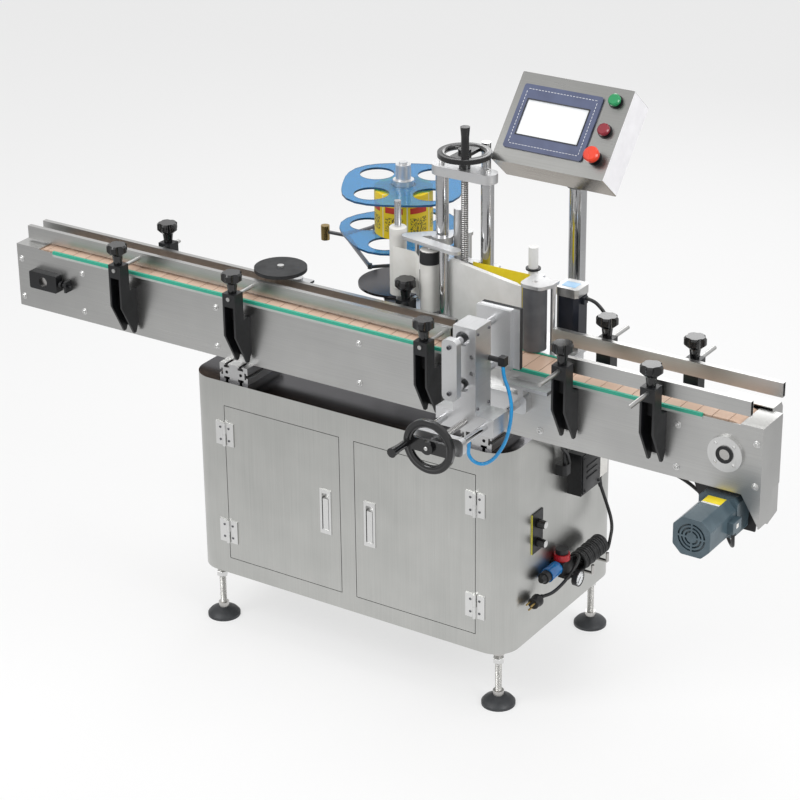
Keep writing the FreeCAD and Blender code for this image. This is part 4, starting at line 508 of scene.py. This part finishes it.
FOOT_PLACES = [(x, y) for x in (-420, 369) for y in (-67.5, 366.5)]
REEL_X, REEL_Y = ROLL_PLACE[:2]
PEEL_START, PEEL_END = (142, 95.5), (359, 38.5)
PANEL_TILT = math.radians(40.8)
PANEL_PLACE = (323, 270.5, 1299)
PANEL_BUTTONS = (107, (76, 4, -62))


def upright(x, y, radius, low=-1e4, high=1e4):
    """A test for faces near an upright line, between two heights."""
    return lambda p, n: math.hypot(p.x - x, p.y - y) < radius and low < p.z < high


def level_y(x, z, radius, low=-1e4, high=1e4):
    """A test for faces near a line that runs front to back, between two depths."""
    return lambda p, n: math.hypot(p.x - x, p.z - z) < radius and low < p.y < high


def in_box(low, high):
    """A test for faces between two corners."""
    return lambda p, n: all(a < v < b for a, v, b in zip(low, p, high))


def near_peel(p, n):
    """The white plate between the label head's deck and its thin tip."""
    run = Vector(PEEL_END) - Vector(PEEL_START)
    here = Vector((p.x, p.y)) - Vector(PEEL_START)
    along = here.dot(run) / run.length
    side = here.x * run.y - here.y * run.x
    return -2 < along < run.length + 6 and abs(side) / run.length < 7 and 837 < p.z < 1005


def on_panel(p):
    """A place in the control box's own axes: across, depth behind its face, and up the face."""
    dx, dy, dz = (v - start for v, start in zip(p, PANEL_PLACE))
    cos, sin = math.cos(PANEL_TILT), math.sin(PANEL_TILT)
    return dx, dy * cos - dz * sin, dy * sin + dz * cos


def in_bezel(p, n):
    x, depth, z = on_panel(p)
    return -124 < x < 78 and -77 < z < 81 and -5.5 < depth < -0.1


def in_screen(p, n):
    x, depth, z = on_panel(p)
    return -100 < x < 52 and -39 < z < 42 and -3.7 < depth < -3.2


def on_ring(p, n):
    x, depth, z = on_panel(p)
    side, levels = PANEL_BUTTONS
    return depth < -0.1 and any(math.hypot(x - side, z - level) < 17 for level in levels)


def disc_edge(p, n):
    return abs(n.z) < 0.5 and math.hypot(p.x - REEL_X, p.y - REEL_Y) > 40


def reel_metal(p, n):
    far = math.hypot(p.x - REEL_X, p.y - REEL_Y)
    return far < 31 and (abs(n.z) < 0.5 or p.z > 1077)


# The cabinet's top faces, which get the painted shade and reflection.
def painted_shade_top_sheet(p, n):
    return n.z > 0.9 and p.z > 659


regions_of = {
    # The cabinet's top is painted dark as shade and reflection.
    "cabinet_shell": [(painted_shade_steel, painted_shade_top_sheet),
                      (bright_trim, in_box((-500, -120, 150), (500, -109.8, 700)))],
    "left_door": [(bright_trim, in_box((-400, -120, 150), (-345, -109.8, 700))),
                  (bright_trim, in_box((-95, -112, 300), (-55, -97, 500)))],
    "right_door": [(bright_trim, in_box((320, -120, 150), (400, -109.8, 700))),
                   (bright_trim, in_box((26, -112, 300), (68, -97, 500)))],
    "shaft_bearings": [(bright_trim, lambda p, n: 20 < math.hypot(p.x - 921, p.z - 789) < 41
                        or (p.x > 870 and abs(n.y) > 0.9 and -83 < p.y < 26))],
    "head_handwheel": [(screw_upright, upright(149.5, 140.5, 8.6, 800, 1206))],
    "press_handwheel": [(screw_across, level_y(380, 790, 7.6, -350, -170))],
    "foot_stems": [(foot_thread, lambda p, n: 40 < p.z < 148 and abs(n.z) < 0.5
                    and min(math.hypot(p.x - x, p.y - y) for x, y in FOOT_PLACES) < 9)],
    "upright_posts": [(satin_aluminium, lambda p, n: p.z > 1184 and p.x < 260),
                      (satin_aluminium, lambda p, n: p.z < 671)],
    # The lower disc under the reel is painted dark as shade and reflection.
    "head_carriage": [(white_enamel, near_peel), (painted_shade_steel, upright(-91, 224.8, 92, 846, 855)),
                      (black_moulding, upright(337, 125.5, 18, 1005, 1016)),
                      (post_cream, upright(160, 215.5, 12, 900, 1190)),
                      (chrome, upright(160, 215.5, 12, 1190, 1300)),
                      (white_enamel, upright(337, 125.5, 12, 840, 1070)),
                      (chrome, upright(132, 76.5, 10, 846, 1026)),
                      (chrome, upright(-17, 120.5, 9, 1041, 1110))],
    "band_roller": [(black_rubber, lambda p, n: 984.5 < p.z < 1015.5)],
    "label_web": [(yellow_stock, lambda p, n: p.x > 184)],
    "reel_discs": [(satin_aluminium, reel_metal), (acrylic_edge, disc_edge)],
    "dancer_arm": [(turned_brass, upright(-329, 276.8, 11.5))],
    "control_box": [(screen_white, in_screen), (bezel_blue, in_bezel), (black_moulding, on_ring),
                    (chrome, upright(347, 305.5, 22, 1100, 1181)),
                    # Painted light on the case's side and painted shade on its underside.
                    (case_side_painted_light, lambda p, n: n.x > 0.9), (case_under_painted_shade, lambda p, n: n.z < -0.3)],
    "press_carriage": [(black_moulding, in_box((409, -220, 900), (460, -160, 960))),
                       (black_moulding, level_y(384, 757, 30, -240, -200))],
    "press_plate": [(chrome, in_box((340, -270.4, 800), (420, -114.6, 1010))),
                    (black_rubber, lambda p, n: p.y > -102.4)],
    "press_slideway": [(chrome, lambda p, n: -336 < p.y < -97 and abs(n.y) < 0.5 and p.z < 800)],
    "rubber_roller": [(satin_rod, upright(397, 30.5, 6.5))],
    "stepper_motor": [(bright_trim, lambda p, n: p.x < 478 and (p.z < 868.2 or p.z > 983.8))],
    "separator_drive": [(black_moulding, lambda p, n: p.z < 849.5)],
    "separating_wheel": [(bright_trim, upright(-286, 31.5, 9))],
    "motor_mount": [(black_moulding, lambda p, n: p.y < -17.4)],
    "side_fittings": [(white_moulding, in_box((410, 256, 462.5), (450, 298, 561))),
                      (satin_rod, lambda p, n: p.z < 300),
                      (strip_yellow, lambda p, n: p.x < 414.5 and p.z > 360 and p.y < 3.6)],
    "air_regulator": [(bowl_blue, in_box((410, 45.2, 280), (450, 88.4, 320))),
                      (ring_red, in_box((410, 80, 315.2), (460, 140, 330.1))),
                      (screen_white, lambda p, n: p.x > 472.8)],
    "emergency_button": [(black_moulding, lambda p, n: on_panel(p)[1] > -19)],
}
finish_of = {
    "cabinet_shell": brushed_upright, "left_door": brushed_upright, "right_door": brushed_upright,
    "conveyor_frame": brushed_along, "end_covers": brushed_along, "motor_mount": brushed_along,
    "infeed_front_rail": brushed_along, "infeed_rear_rail": brushed_along,
    "outfeed_front_rail": brushed_along, "outfeed_rear_rail": brushed_along,
    "foot_stems": satin_rod, "drive_shaft": satin_rod, "idler_shaft": satin_rod,
    "foot_pads": pad_grey, "risers": extruded_aluminium, "wear_strips": green_slide,
    "slat_chain": slat_tan, "shaft_bearings": black_moulding, "rail_brackets": black_moulding,
    "gearmotor": motor_enamel, "press_slideway": satin_aluminium, "press_carriage": satin_aluminium,
    "press_plate": satin_aluminium, "press_handwheel": black_gloss, "head_handwheel": black_gloss,
    "roller_stand": satin_aluminium, "rubber_roller": grey_rubber, "stepper_motor": stepper_black,
    "separator_drive": satin_aluminium, "separating_wheel": black_rubber, "upright_posts": chrome,
    "head_carriage": satin_aluminium, "guide_roller": white_moulding, "band_roller": white_moulding,
    "label_web": label_paper, "reel_discs": acrylic, "label_roll": printed_roll,
    # The control box's base finish is the grey steel painted as shade.
    "dancer_arm": dark_steel, "control_box": case_front_painted_shade, "start_button": lens_green,
    "stop_button": lens_red, "emergency_button": lens_orange, "air_regulator": black_moulding,
    "side_fittings": black_moulding, "speed_knob_upper": black_gloss, "speed_knob_lower": black_gloss,
    "machine_cables": cord_black,
    **{f"clamp_knob_{i}": black_gloss for i in range(1, 10)},
}
soft_nodes = ("air_hose", "power_cord", "cord_coil", "plug")
skins = {name: dress(name, finish) for name, finish in finish_of.items()}
missing = sorted(set(nodes) - set(finish_of) - set(soft_nodes))
print("dressed:", len(skins), "not dressed:", missing)

# %% [markdown]
# The power cord is about two metres of sheathed flex. It drops from a gland under the
# white box, is wound thirteen times into a hank that lies on two hooks, and ends in a
# plug. One smooth curve carries all of it, so the turns are simply more of its points.

# %% Cords
LINE_Y = -28.5
CORD_WIDE = 8
hank_x, hank_z, hank_radius = 447, 290, 22
hank_start, hank_end, hank_turns = 296, 182, 13
turn_points = 12


def cord_curve(name, places, diameter, material, body):
    """A smooth round line through the air; each place in millimetres carries the tube's radius."""
    shape = bpy.data.curves.new(name, "CURVE")
    shape.dimensions = "3D"
    shape.bevel_depth = 1.0
    shape.bevel_resolution = 4
    shape.use_fill_caps = True
    shape.resolution_u = 6
    spline = shape.splines.new("NURBS")
    spline.points.add(len(places) - 1)
    for point, (x, y, z) in zip(spline.points, places):
        point.co = (x * MM, (y + LINE_Y) * MM, z * MM, 1)
        point.radius = diameter / 2 * MM
    spline.order_u = 3
    spline.use_endpoint_u = True
    shape.materials.append(material)
    made = bpy.data.objects.new(name, shape)
    bpy.context.scene.collection.objects.link(made)
    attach(made, body)
    return made


def spline_length(points):
    """Length of the smooth line that a curve object draws."""
    shape = points.data
    depth, shape.bevel_depth = shape.bevel_depth, 0
    mesh = bpy.data.meshes.new_from_object(points)
    shape.bevel_depth = depth
    places = [v.co.copy() for v in mesh.vertices]
    bpy.data.meshes.remove(mesh)
    return sum((b - a).length for a, b in zip(places, places[1:]))


hose_route = [(442, -150, 916), (442, -150, 893), (458, -151, 862), (467, -152, 816), (459, -158, 751),
              (440, -166, 711), (424, -172, 692), (405, -178, 683), (387, -183, 689), (378, -188, 706),
              (384, -193, 727), (384, -193, 746)]
air_line = cord_curve("air_line", hose_route, CORD_WIDE, hose_blue, "press_carriage")
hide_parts("air_hose")
hose_long = spline_length(air_line)

feed_route = [(429, 309, 455), (431, 317, 428), (434, 329, 398), (440, 338, 366), (450, 338, 338),
              (462, 322, 322), (468, 304, 309)]
tail_route = [(458, 174, 310), (461, 154, 300), (457, 126, 281), (447, 100, 262), (437, 75, 252),
              (429, 52, 256)]
hank_route = []
for step in range(hank_turns * turn_points + 10):
    turn = step / turn_points
    angle = -2 * math.pi * turn
    loose = hank_radius + 0.9 * math.sin(turn * 4.1) - 0.9
    slack = 0.9 * math.sin(turn * 2.3 + 1.0)
    y = hank_start + (hank_end - hank_start) * turn / (hank_turns + 0.75) + slack * 0.5
    hank_route.append((hank_x + loose * math.cos(angle), y, hank_z + loose * math.sin(angle)))
mains_flex = cord_curve("mains_flex", feed_route + hank_route + tail_route, CORD_WIDE, cord_black,
                        "machine")
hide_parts("power_cord", "cord_coil")
flex_long = spline_length(mains_flex)
print("hose", round(hose_long, 3), "m, flex", round(flex_long, 3), "m")

# %% [markdown]
# Pins, caps and screws are turned on a lathe, so here too one outline is spun round its
# axis. Flat parts are boxes with rounded edges. A piece is one mesh that is built in steps,
# and its doubles are merged at the end, so that seams and poles are closed.

# %% Turned shapes from outlines


def frame_at(start, way):
    """A matrix at a point in millimetres whose z axis looks along way."""
    turn = Vector(way).normalized().to_track_quat("Z", "Y").to_matrix().to_4x4()
    return Matrix.Translation(Vector(start) * MM) @ turn


def lathe(bm, profile, start, way, sides=32):
    """A turned shape: (radius, height) places in millimetres, spun round the line start, way."""
    place = frame_at(start, way)
    outline = [bm.verts.new(place @ Vector((r * MM, 0, h * MM))) for r, h in profile]
    runs = [bm.edges.new(pair) for pair in zip(outline, outline[1:])]
    bmesh.ops.spin(bm, geom=outline + runs, cent=place.translation, axis=place.col[2].xyz,
                   angle=2 * math.pi, steps=sides, use_merge=True)


def slab(bm, low, high, rounding=0.0, place=None):
    """A box between two corners in millimetres, with its edges rounded."""
    middle = [(a + b) / 2 * MM for a, b in zip(low, high)]
    size = [(b - a) * MM for a, b in zip(low, high)]
    put = Matrix.Translation(middle) @ Matrix.Diagonal((*size, 1))
    made = bmesh.ops.create_cube(bm, size=1, matrix=(place or Matrix()) @ put)
    if rounding:
        edges = list({e for v in made["verts"] for e in v.link_edges})
        bmesh.ops.bevel(bm, geom=edges, offset=rounding * MM, segments=2, profile=0.5,
                        affect="EDGES", material=-1, clamp_overlap=True)


def screw_head(bm, start, way, diameter=8.0, high=5.0):
    """A socket cap screw: a rounded head with a round, tapered socket."""
    r = diameter / 2
    lathe(bm, [(0, -0.5), (r, -0.5), (r, high - 0.8), (r - 0.8, high), (r * 0.52, high),
               (r * 0.48, high * 0.45), (0, high * 0.4)], start, way, 18)


def build(name, body, material, slot, *steps, smooth_angle=32):
    """One piece from several building steps, each of which adds to the same mesh."""
    bm = bmesh.new()
    for step in steps:
        step(bm)
    bmesh.ops.remove_doubles(bm, verts=bm.verts[:], dist=1e-6)
    bmesh.ops.recalc_face_normals(bm, faces=bm.faces[:])
    mesh = bpy.data.meshes.new(name)
    bm.to_mesh(mesh)
    bm.free()
    settle(mesh, smooth_angle)
    return link_piece(name, mesh, body, material)


# %% [markdown]
# The plug is a rubbery moulding with a waist to grip, a ribbed sleeve that lets the cord
# bend gently, and three brass pins. The gland's guard has the same ribs. They are equal
# steps in the real mould, so a loop adds them to the outline that is spun.

# %% Plug and cord guards
plug_place = (429, 52 + LINE_Y, 256)
SLEEVE_RIBS, SLEEVE_STEP = 5, 3.4
GUARD_RIBS, GUARD_STEP = 6, 4


def plug_body(bm):
    lathe(bm, [(0, -16), (14, -16), (15, -18), (15, -24), (13.2, -29), (13.2, -35), (14, -39),
               (12.5, -42), (0, -42)], plug_place, (0, 1, 0), 32)


def plug_sleeve(bm):
    steps = [(0, 1.5), (5.2, 1.5)]
    for ridge in range(SLEEVE_RIBS):
        high, wide = -ridge * SLEEVE_STEP, ridge * 0.5
        steps += [(5.6 + wide, high - 0.4), (5.6 + wide, high - 2.2), (5.0 + wide, high - 2.6)]
    lathe(bm, steps + [(7.8, -17), (0, -17)], plug_place, (0, 1, 0), 24)


def plug_pins(bm):
    for dx, dz in ((-6, 4), (6, 4), (0, -7)):
        lathe(bm, [(0, -41), (2.2, -41), (2.2, -59), (1.4, -60.3), (0, -60.3)],
              (429 + dx, 52 + LINE_Y, 256 + dz), (0, 1, 0), 16)


plug_moulding = build("plug_moulding", "machine", black_moulding, "black_rubber",
                      plug_body, plug_sleeve)
plug_brass = build("plug_brass_pins", "machine", turned_brass, "brass", plug_pins)
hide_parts("plug")


def flex_guard(bm):
    steps = [(0, 0), (8, 0), (8, -3), (6.6, -4)]
    for ridge in range(GUARD_RIBS):
        low, thin = ridge * GUARD_STEP, 5.6 - ridge * 0.2
        steps += [(6.6 - ridge * 0.25, -5 - low), (thin, -5.6 - low), (thin, -8 - low)]
    lathe(bm, steps + [(4.3, -30), (0, -30)], (429, 309 + LINE_Y, 455), (-0.07, -0.28, 1.0), 20)


guard = build("flex_guard", "machine", black_moulding, "black_rubber", flex_guard)

# %% [markdown]
# Socket screws hold the machine together, and they show as small bright dots on every
# plate. Each is spun from one outline: a washer, a rounded head and a socket. Their foot
# is closed and sunk into the plate by half a millimetre, so that no gap can show.

# %% Screws on the plates
FRONT_FACE, REAR_FACE = -74.5, 17.5


def washered_screw(bm, start, way, washer=8.0, head=5.0, high=5.0):
    lathe(bm, [(0, -0.5), (washer, -0.5), (washer, 1.0), (washer - 0.6, 1.4), (head, 1.4),
               (head, high - 0.7), (head - 0.7, high), (head * 0.55, high),
               (head * 0.5, high * 0.5), (0, high * 0.45)], start, way, 18)


def conveyor_screws(bm):
    for x in (-989.9, -800, -400, 2, 474, 807, 989.9):
        for z in (826, 728):
            washered_screw(bm, (x, FRONT_FACE, z), (0, -1, 0))
            if not (x == 474 and z == 826):
                washered_screw(bm, (x, REAR_FACE, z), (0, 1, 0))


def bearing_screws(bm):
    for turn in range(4):
        angle = math.radians(45 + 90 * turn)
        at = (921 + 30 * math.cos(angle), -82.5, 789 + 30 * math.sin(angle))
        screw_head(bm, at, (0, -1, 0), 6.5, 2.2)


def yoke_screws(bm):
    for x in (90, 209):
        screw_head(bm, (x, 140.5, 1207), (0, 0, 1), 13, 7)


def foot_nuts(bm):
    for x, y in FOOT_PLACES:
        lathe(bm, [(0, 110), (13, 110), (14, 111), (14, 122), (13, 123), (0, 123)], (x, y, 0),
              (0, 0, 1), 6)


plate_screws = build("plate_screws", "machine", bright_trim, "bright_chrome", conveyor_screws,
                     bearing_screws, yoke_screws)
build("stem_nuts", "machine", bright_trim, "bright_chrome", foot_nuts, smooth_angle=20)
print("faces of the plate screws:", len(plate_screws.data.polygons))

# %% [markdown]
# Socket screws hold the press's tie plate and its block, and each hinge leaf has two. A
# screw rides on the body that it is screwed into: the outer leaves' screws stay with the
# cabinet, and the inner leaves' swing with their door. The handwheels get the flat outer
# band of a turned rim, spun as one ring.

# %% Screws on the press and on the doors
LEAF_FRONT = -112
LEAF_REACH = 12
LEFT_HINGE_LINE, RIGHT_HINGE_LINE = -360.75, 331.75
BAND_RADIUS = 61.5


def press_screws(bm):
    for z in (983, 877):
        screw_head(bm, (376, -288.5, z), (0, -1, 0), 10, 4)


def block_screws(bm):
    for y in (-226, -181):
        for z in (824, 997):
            screw_head(bm, (408, y, z), (1, 0, 0), 7, 2.5)


def hinge_screws(x):
    """Four screws in the leaves that stand at this x, two in each of the door's two hinges."""
    def made(bm):
        for low in (236, 495):
            for rise in (14, 46):
                screw_head(bm, (x, LEAF_FRONT, low + rise), (0, -1, 0), 6.5, 1.2)
    return made


def wheel_band(place, way, radius):
    """The flat outer band of a handwheel, spun round its axle."""
    def made(bm):
        lathe(bm, [(radius - 9.5, -5), (radius - 8.5, -6), (radius - 1.2, -6), (radius, -4.8),
                   (radius, 4.8), (radius - 1.2, 6), (radius - 8.5, 6), (radius - 9.5, 5),
                   (radius - 9.5, -5)], place, way, 72)
    return made


def hub_screw(bm):
    screw_head(bm, (380, -386.5, 790), (0, -1, 0), 9, 3)


build("head_wheel_band", "head_handwheel", black_gloss, "black_plastic",
      wheel_band((149.5, 140.5, 1240), (0, 0, 1), BAND_RADIUS))
build("press_wheel_band", "press_handwheel", black_gloss, "black_plastic",
      wheel_band((380, -374.5, 790), (0, 1, 0), BAND_RADIUS))
build("press_hub_screw", "press_handwheel", bright_trim, "bright_chrome", hub_screw)
build("tie_plate_screws", "press_plate", dark_steel, "bright_chrome", press_screws)
build("press_block_screws", "press_carriage", dark_steel, "bright_chrome", block_screws)
build("hinge_leaf_screws", "machine", dark_steel, "bright_chrome",
      hinge_screws(LEFT_HINGE_LINE - LEAF_REACH), hinge_screws(RIGHT_HINGE_LINE + LEAF_REACH))
build("left_door_screws", "left_door", dark_steel, "bright_chrome",
      hinge_screws(LEFT_HINGE_LINE + LEAF_REACH))
build("right_door_screws", "right_door", dark_steel, "bright_chrome",
      hinge_screws(RIGHT_HINGE_LINE - LEAF_REACH))
print("screws of the press and the doors are in")

# %% [markdown]
# The operator's panel leans back by 40.8 degrees. One matrix puts its axes on the sloping
# face, so that the trim is drawn upright and flat: a row of thin white dashes round the
# bezel, and a raised rim round the white display. Both are bare of words.

# %% Trim of the operator's panel
PANEL = Matrix.Translation(Vector(PANEL_PLACE) * MM) @ Matrix.Rotation(-PANEL_TILT, 4, "X")
DASH_LONG, DASH_STEP, DASH_WIDE = 5.0, 8.0, 0.9


def bezel_dashes(bm):
    left, right, low, high = -112, 66, -65, 69
    for count in range(int((right - left) / DASH_STEP)):
        x = left + 3 + count * DASH_STEP
        for z in (low, high):
            slab(bm, (x, -5.4, z - DASH_WIDE / 2), (x + DASH_LONG, -4.8, z + DASH_WIDE / 2), 0,
                 PANEL)
    for count in range(int((high - low) / DASH_STEP)):
        z = low + 3 + count * DASH_STEP
        for x in (left, right):
            slab(bm, (x - DASH_WIDE / 2, -5.4, z), (x + DASH_WIDE / 2, -4.8, z + DASH_LONG), 0,
                 PANEL)


def display_rim(bm):
    for low, high in (((-104, -6.4, 43.6), (56, -4.6, 46)),
                      ((-104, -6.4, -43.1), (56, -4.6, -40.7)),
                      ((-104, -6.4, -42), (-101.6, -4.6, 45)),
                      ((53.5, -6.4, -42), (56, -4.6, 45))):
        slab(bm, low, high, 0.5, PANEL)


build("bezel_dashes", "control_box", screen_white, "white_plastic", bezel_dashes)
build("display_rim", "control_box", black_moulding, "black_plastic", display_rim)

# %% [markdown]
# Small bare labels and caps carry the colours that the eye finds first: a yellow and white
# patch on the motor, a pale blue one on the stepper motor, bright caps on the two speed
# knobs and tick marks on the pressure gauge. They are thin plates with rounded edges.

# %% Patches, caps and ticks
GAUGE_PLACE = (473, 121.5, 270)


def motor_patch(bm):
    slab(bm, (889, -113, 685.6), (931, -83, 686.6), 0.3)


def motor_patch_edge(bm):
    slab(bm, (889, -119, 685.6), (931, -113.3, 686.6), 0.3)
    slab(bm, (966.6, -106, 638), (967.6, -96, 648), 0.2)


def stepper_patch(bm):
    slab(bm, (430, 88, 1003.6), (464, 116, 1004.6), 0.3)


def knob_cap(z):
    def made(bm):
        lathe(bm, [(0, -0.5), (8.2, -0.5), (8.6, 0.3), (7.4, 1.2), (0, 1.5)], (436, 25.5, z),
              (1, 0, 0), 28)
        slab(bm, (437, 24.7, z), (437.9, 26.3, z + 7.5), 0.2)
    return made


def box_lid(bm):
    slab(bm, (446.5, 170, 459), (450, 251, 556), 1.2)
    for y in (177, 244):
        for z in (466, 549):
            screw_head(bm, (450, y, z), (1, 0, 0), 7, 2)
    for z in (492, 507, 522):
        slab(bm, (449.6, 186, z), (452, 235, z + 5), 0.8)


def gauge_rim(bm):
    lathe(bm, [(16.6, -0.3), (19.5, -0.3), (19.5, 1.0), (17.8, 1.6), (16.6, 0.5), (16.6, -0.3)],
          GAUGE_PLACE, (1, 0, 0), 40)


def gauge_ticks(bm):
    radius, start, step = 17.5, 225, 27
    dial = Matrix.Translation(Vector(GAUGE_PLACE) * MM)
    for tick in range(11):
        turn = dial @ Matrix.Rotation(math.radians(start - step * tick), 4, "X")
        slab(bm, (-0.3, radius - 5.5, -0.5), (0.5, radius - 2, 0.5), 0, turn)
    needle = dial @ Matrix.Rotation(math.radians(start), 4, "X")
    slab(bm, (-0.3, -4, -0.7), (0.8, radius - 6, 0.7), 0.2, needle)


build("motor_patch_yellow", "machine", yellow_stock, "label_yellow", motor_patch)
build("motor_patch_white", "machine", label_paper, "white_plastic", motor_patch_edge)
build("stepper_patch_blue", "machine", label_pale_blue, "white_plastic", stepper_patch)
build("terminal_box_lid", "machine", black_moulding, "black_plastic", box_lid)
build("gauge_marks", "machine", black_moulding, "black_plastic", gauge_rim, gauge_ticks)
for knob, level in (("speed_knob_upper", 441), ("speed_knob_lower", 393)):
    build(knob + "_cap", knob, bright_trim, "bright_chrome", knob_cap(level))

# %% [markdown]
# The room is a pale floor under soft boxes. Rays from the camera and mirror-like rays see
# the floor and the sky as white, so that steel has something bright to show, while the
# light that falls on the machine stays plain and lets each colour render as written.

# %% Light and floor
DIFFUSE_SKY, MIRRORED_SKY = 0.5, 0.86
FLOOR_HALF = 14


def light_world():
    world = bpy.data.worlds.new("studio")
    bpy.context.scene.world = world
    world.use_nodes = True
    tree = world.node_tree
    tree.nodes.clear()
    path = add_node(tree, "ShaderNodeLightPath")
    seen = add_node(tree, "ShaderNodeMath", [("operation", "MAXIMUM")],
                    [(0, path.outputs["Is Camera Ray"]), (1, path.outputs["Is Transmission Ray"])])
    lit = add_node(tree, "ShaderNodeMix", [(2, DIFFUSE_SKY), (3, MIRRORED_SKY)],
                   [(0, path.outputs["Is Glossy Ray"])])
    strength = add_node(tree, "ShaderNodeMix", [(3, 1.0)],
                        [(0, seen.outputs[0]), (2, lit.outputs[0])])
    sky = add_node(tree, "ShaderNodeBackground", [("Color", (1, 1, 1, 1))],
                   [("Strength", strength.outputs[0])])
    add_node(tree, "ShaderNodeOutputWorld", links=[("Surface", sky.outputs[0])])


def soft_box(name, place, target, size, power):
    """A square lamp that faces a target; places in metres."""
    data = bpy.data.lights.new(name, "AREA")
    data.shape = "SQUARE"
    data.size = size
    data.energy = power
    made = bpy.data.objects.new(name, data)
    way = Vector(target) - Vector(place)
    turn = way.to_track_quat("-Z", "Y").to_matrix().to_4x4()
    made.matrix_world = Matrix.Translation(place) @ turn
    bpy.context.scene.collection.objects.link(made)


def lay_floor():
    made, tree, shader = new_material("studio_floor")
    shader.inputs["Base Color"].default_value = colour("EDEDED")
    shader.inputs["Roughness"].default_value = 0.9
    path = add_node(tree, "ShaderNodeLightPath")
    mirror = add_node(tree, "ShaderNodeMath", [("operation", "MAXIMUM")],
                      [(0, path.outputs["Is Glossy Ray"]), (1, path.outputs["Is Transmission Ray"])])
    place = add_node(tree, "ShaderNodeTexCoord")
    reach = add_node(tree, "ShaderNodeVectorMath", [("operation", "LENGTH")],
                     [(0, place.outputs["Object"])])
    fade = spread(tree, reach.outputs["Value"], 0.95, 0.5, 0.8, 3.2)
    share = add_node(tree, "ShaderNodeMath", [("operation", "MULTIPLY"), (1, 0.62)],
                     [(0, path.outputs["Is Camera Ray"])])
    both = add_node(tree, "ShaderNodeMath", [("operation", "ADD"), ("use_clamp", True)],
                    [(0, share.outputs[0]), (1, mirror.outputs[0])])
    power = add_node(tree, "ShaderNodeMix", [(3, 1.02)],
                     [(0, path.outputs["Is Camera Ray"]), (2, fade.outputs[0])])
    glow = add_node(tree, "ShaderNodeEmission", [("Color", (1, 1, 1, 1))],
                    [("Strength", power.outputs[0])])
    mixed = add_node(tree, "ShaderNodeMixShader",
                     links=[(0, both.outputs[0]), (1, shader.outputs[0]), (2, glow.outputs[0])])
    output = [n for n in tree.nodes if n.type == "OUTPUT_MATERIAL"][0]
    tree.links.new(mixed.outputs[0], output.inputs["Surface"])
    bm = bmesh.new()
    bmesh.ops.create_grid(bm, x_segments=1, y_segments=1, size=FLOOR_HALF)
    mesh = bpy.data.meshes.new("floor")
    bm.to_mesh(mesh)
    bm.free()
    mesh.materials.append(made)
    ground = bpy.data.objects.new("floor", mesh)
    bpy.context.scene.collection.objects.link(ground)


light_world()
lay_floor()
soft_box("key", (-1.6, -2.6, 3.4), (0, 0, 0.7), 1.8, 62)
soft_box("side", (3.4, -0.6, 2.4), (0.3, 0, 0.7), 1.6, 46)
soft_box("overhead", (0.2, 0.6, 3.8), (0, 0, 0.8), 2.4, 46)
soft_box("rear", (-0.8, 3.4, 2.4), (0, 0, 0.9), 1.8, 20)

bpy.context.scene.view_settings.view_transform = "Standard"
bpy.context.view_layer.update()
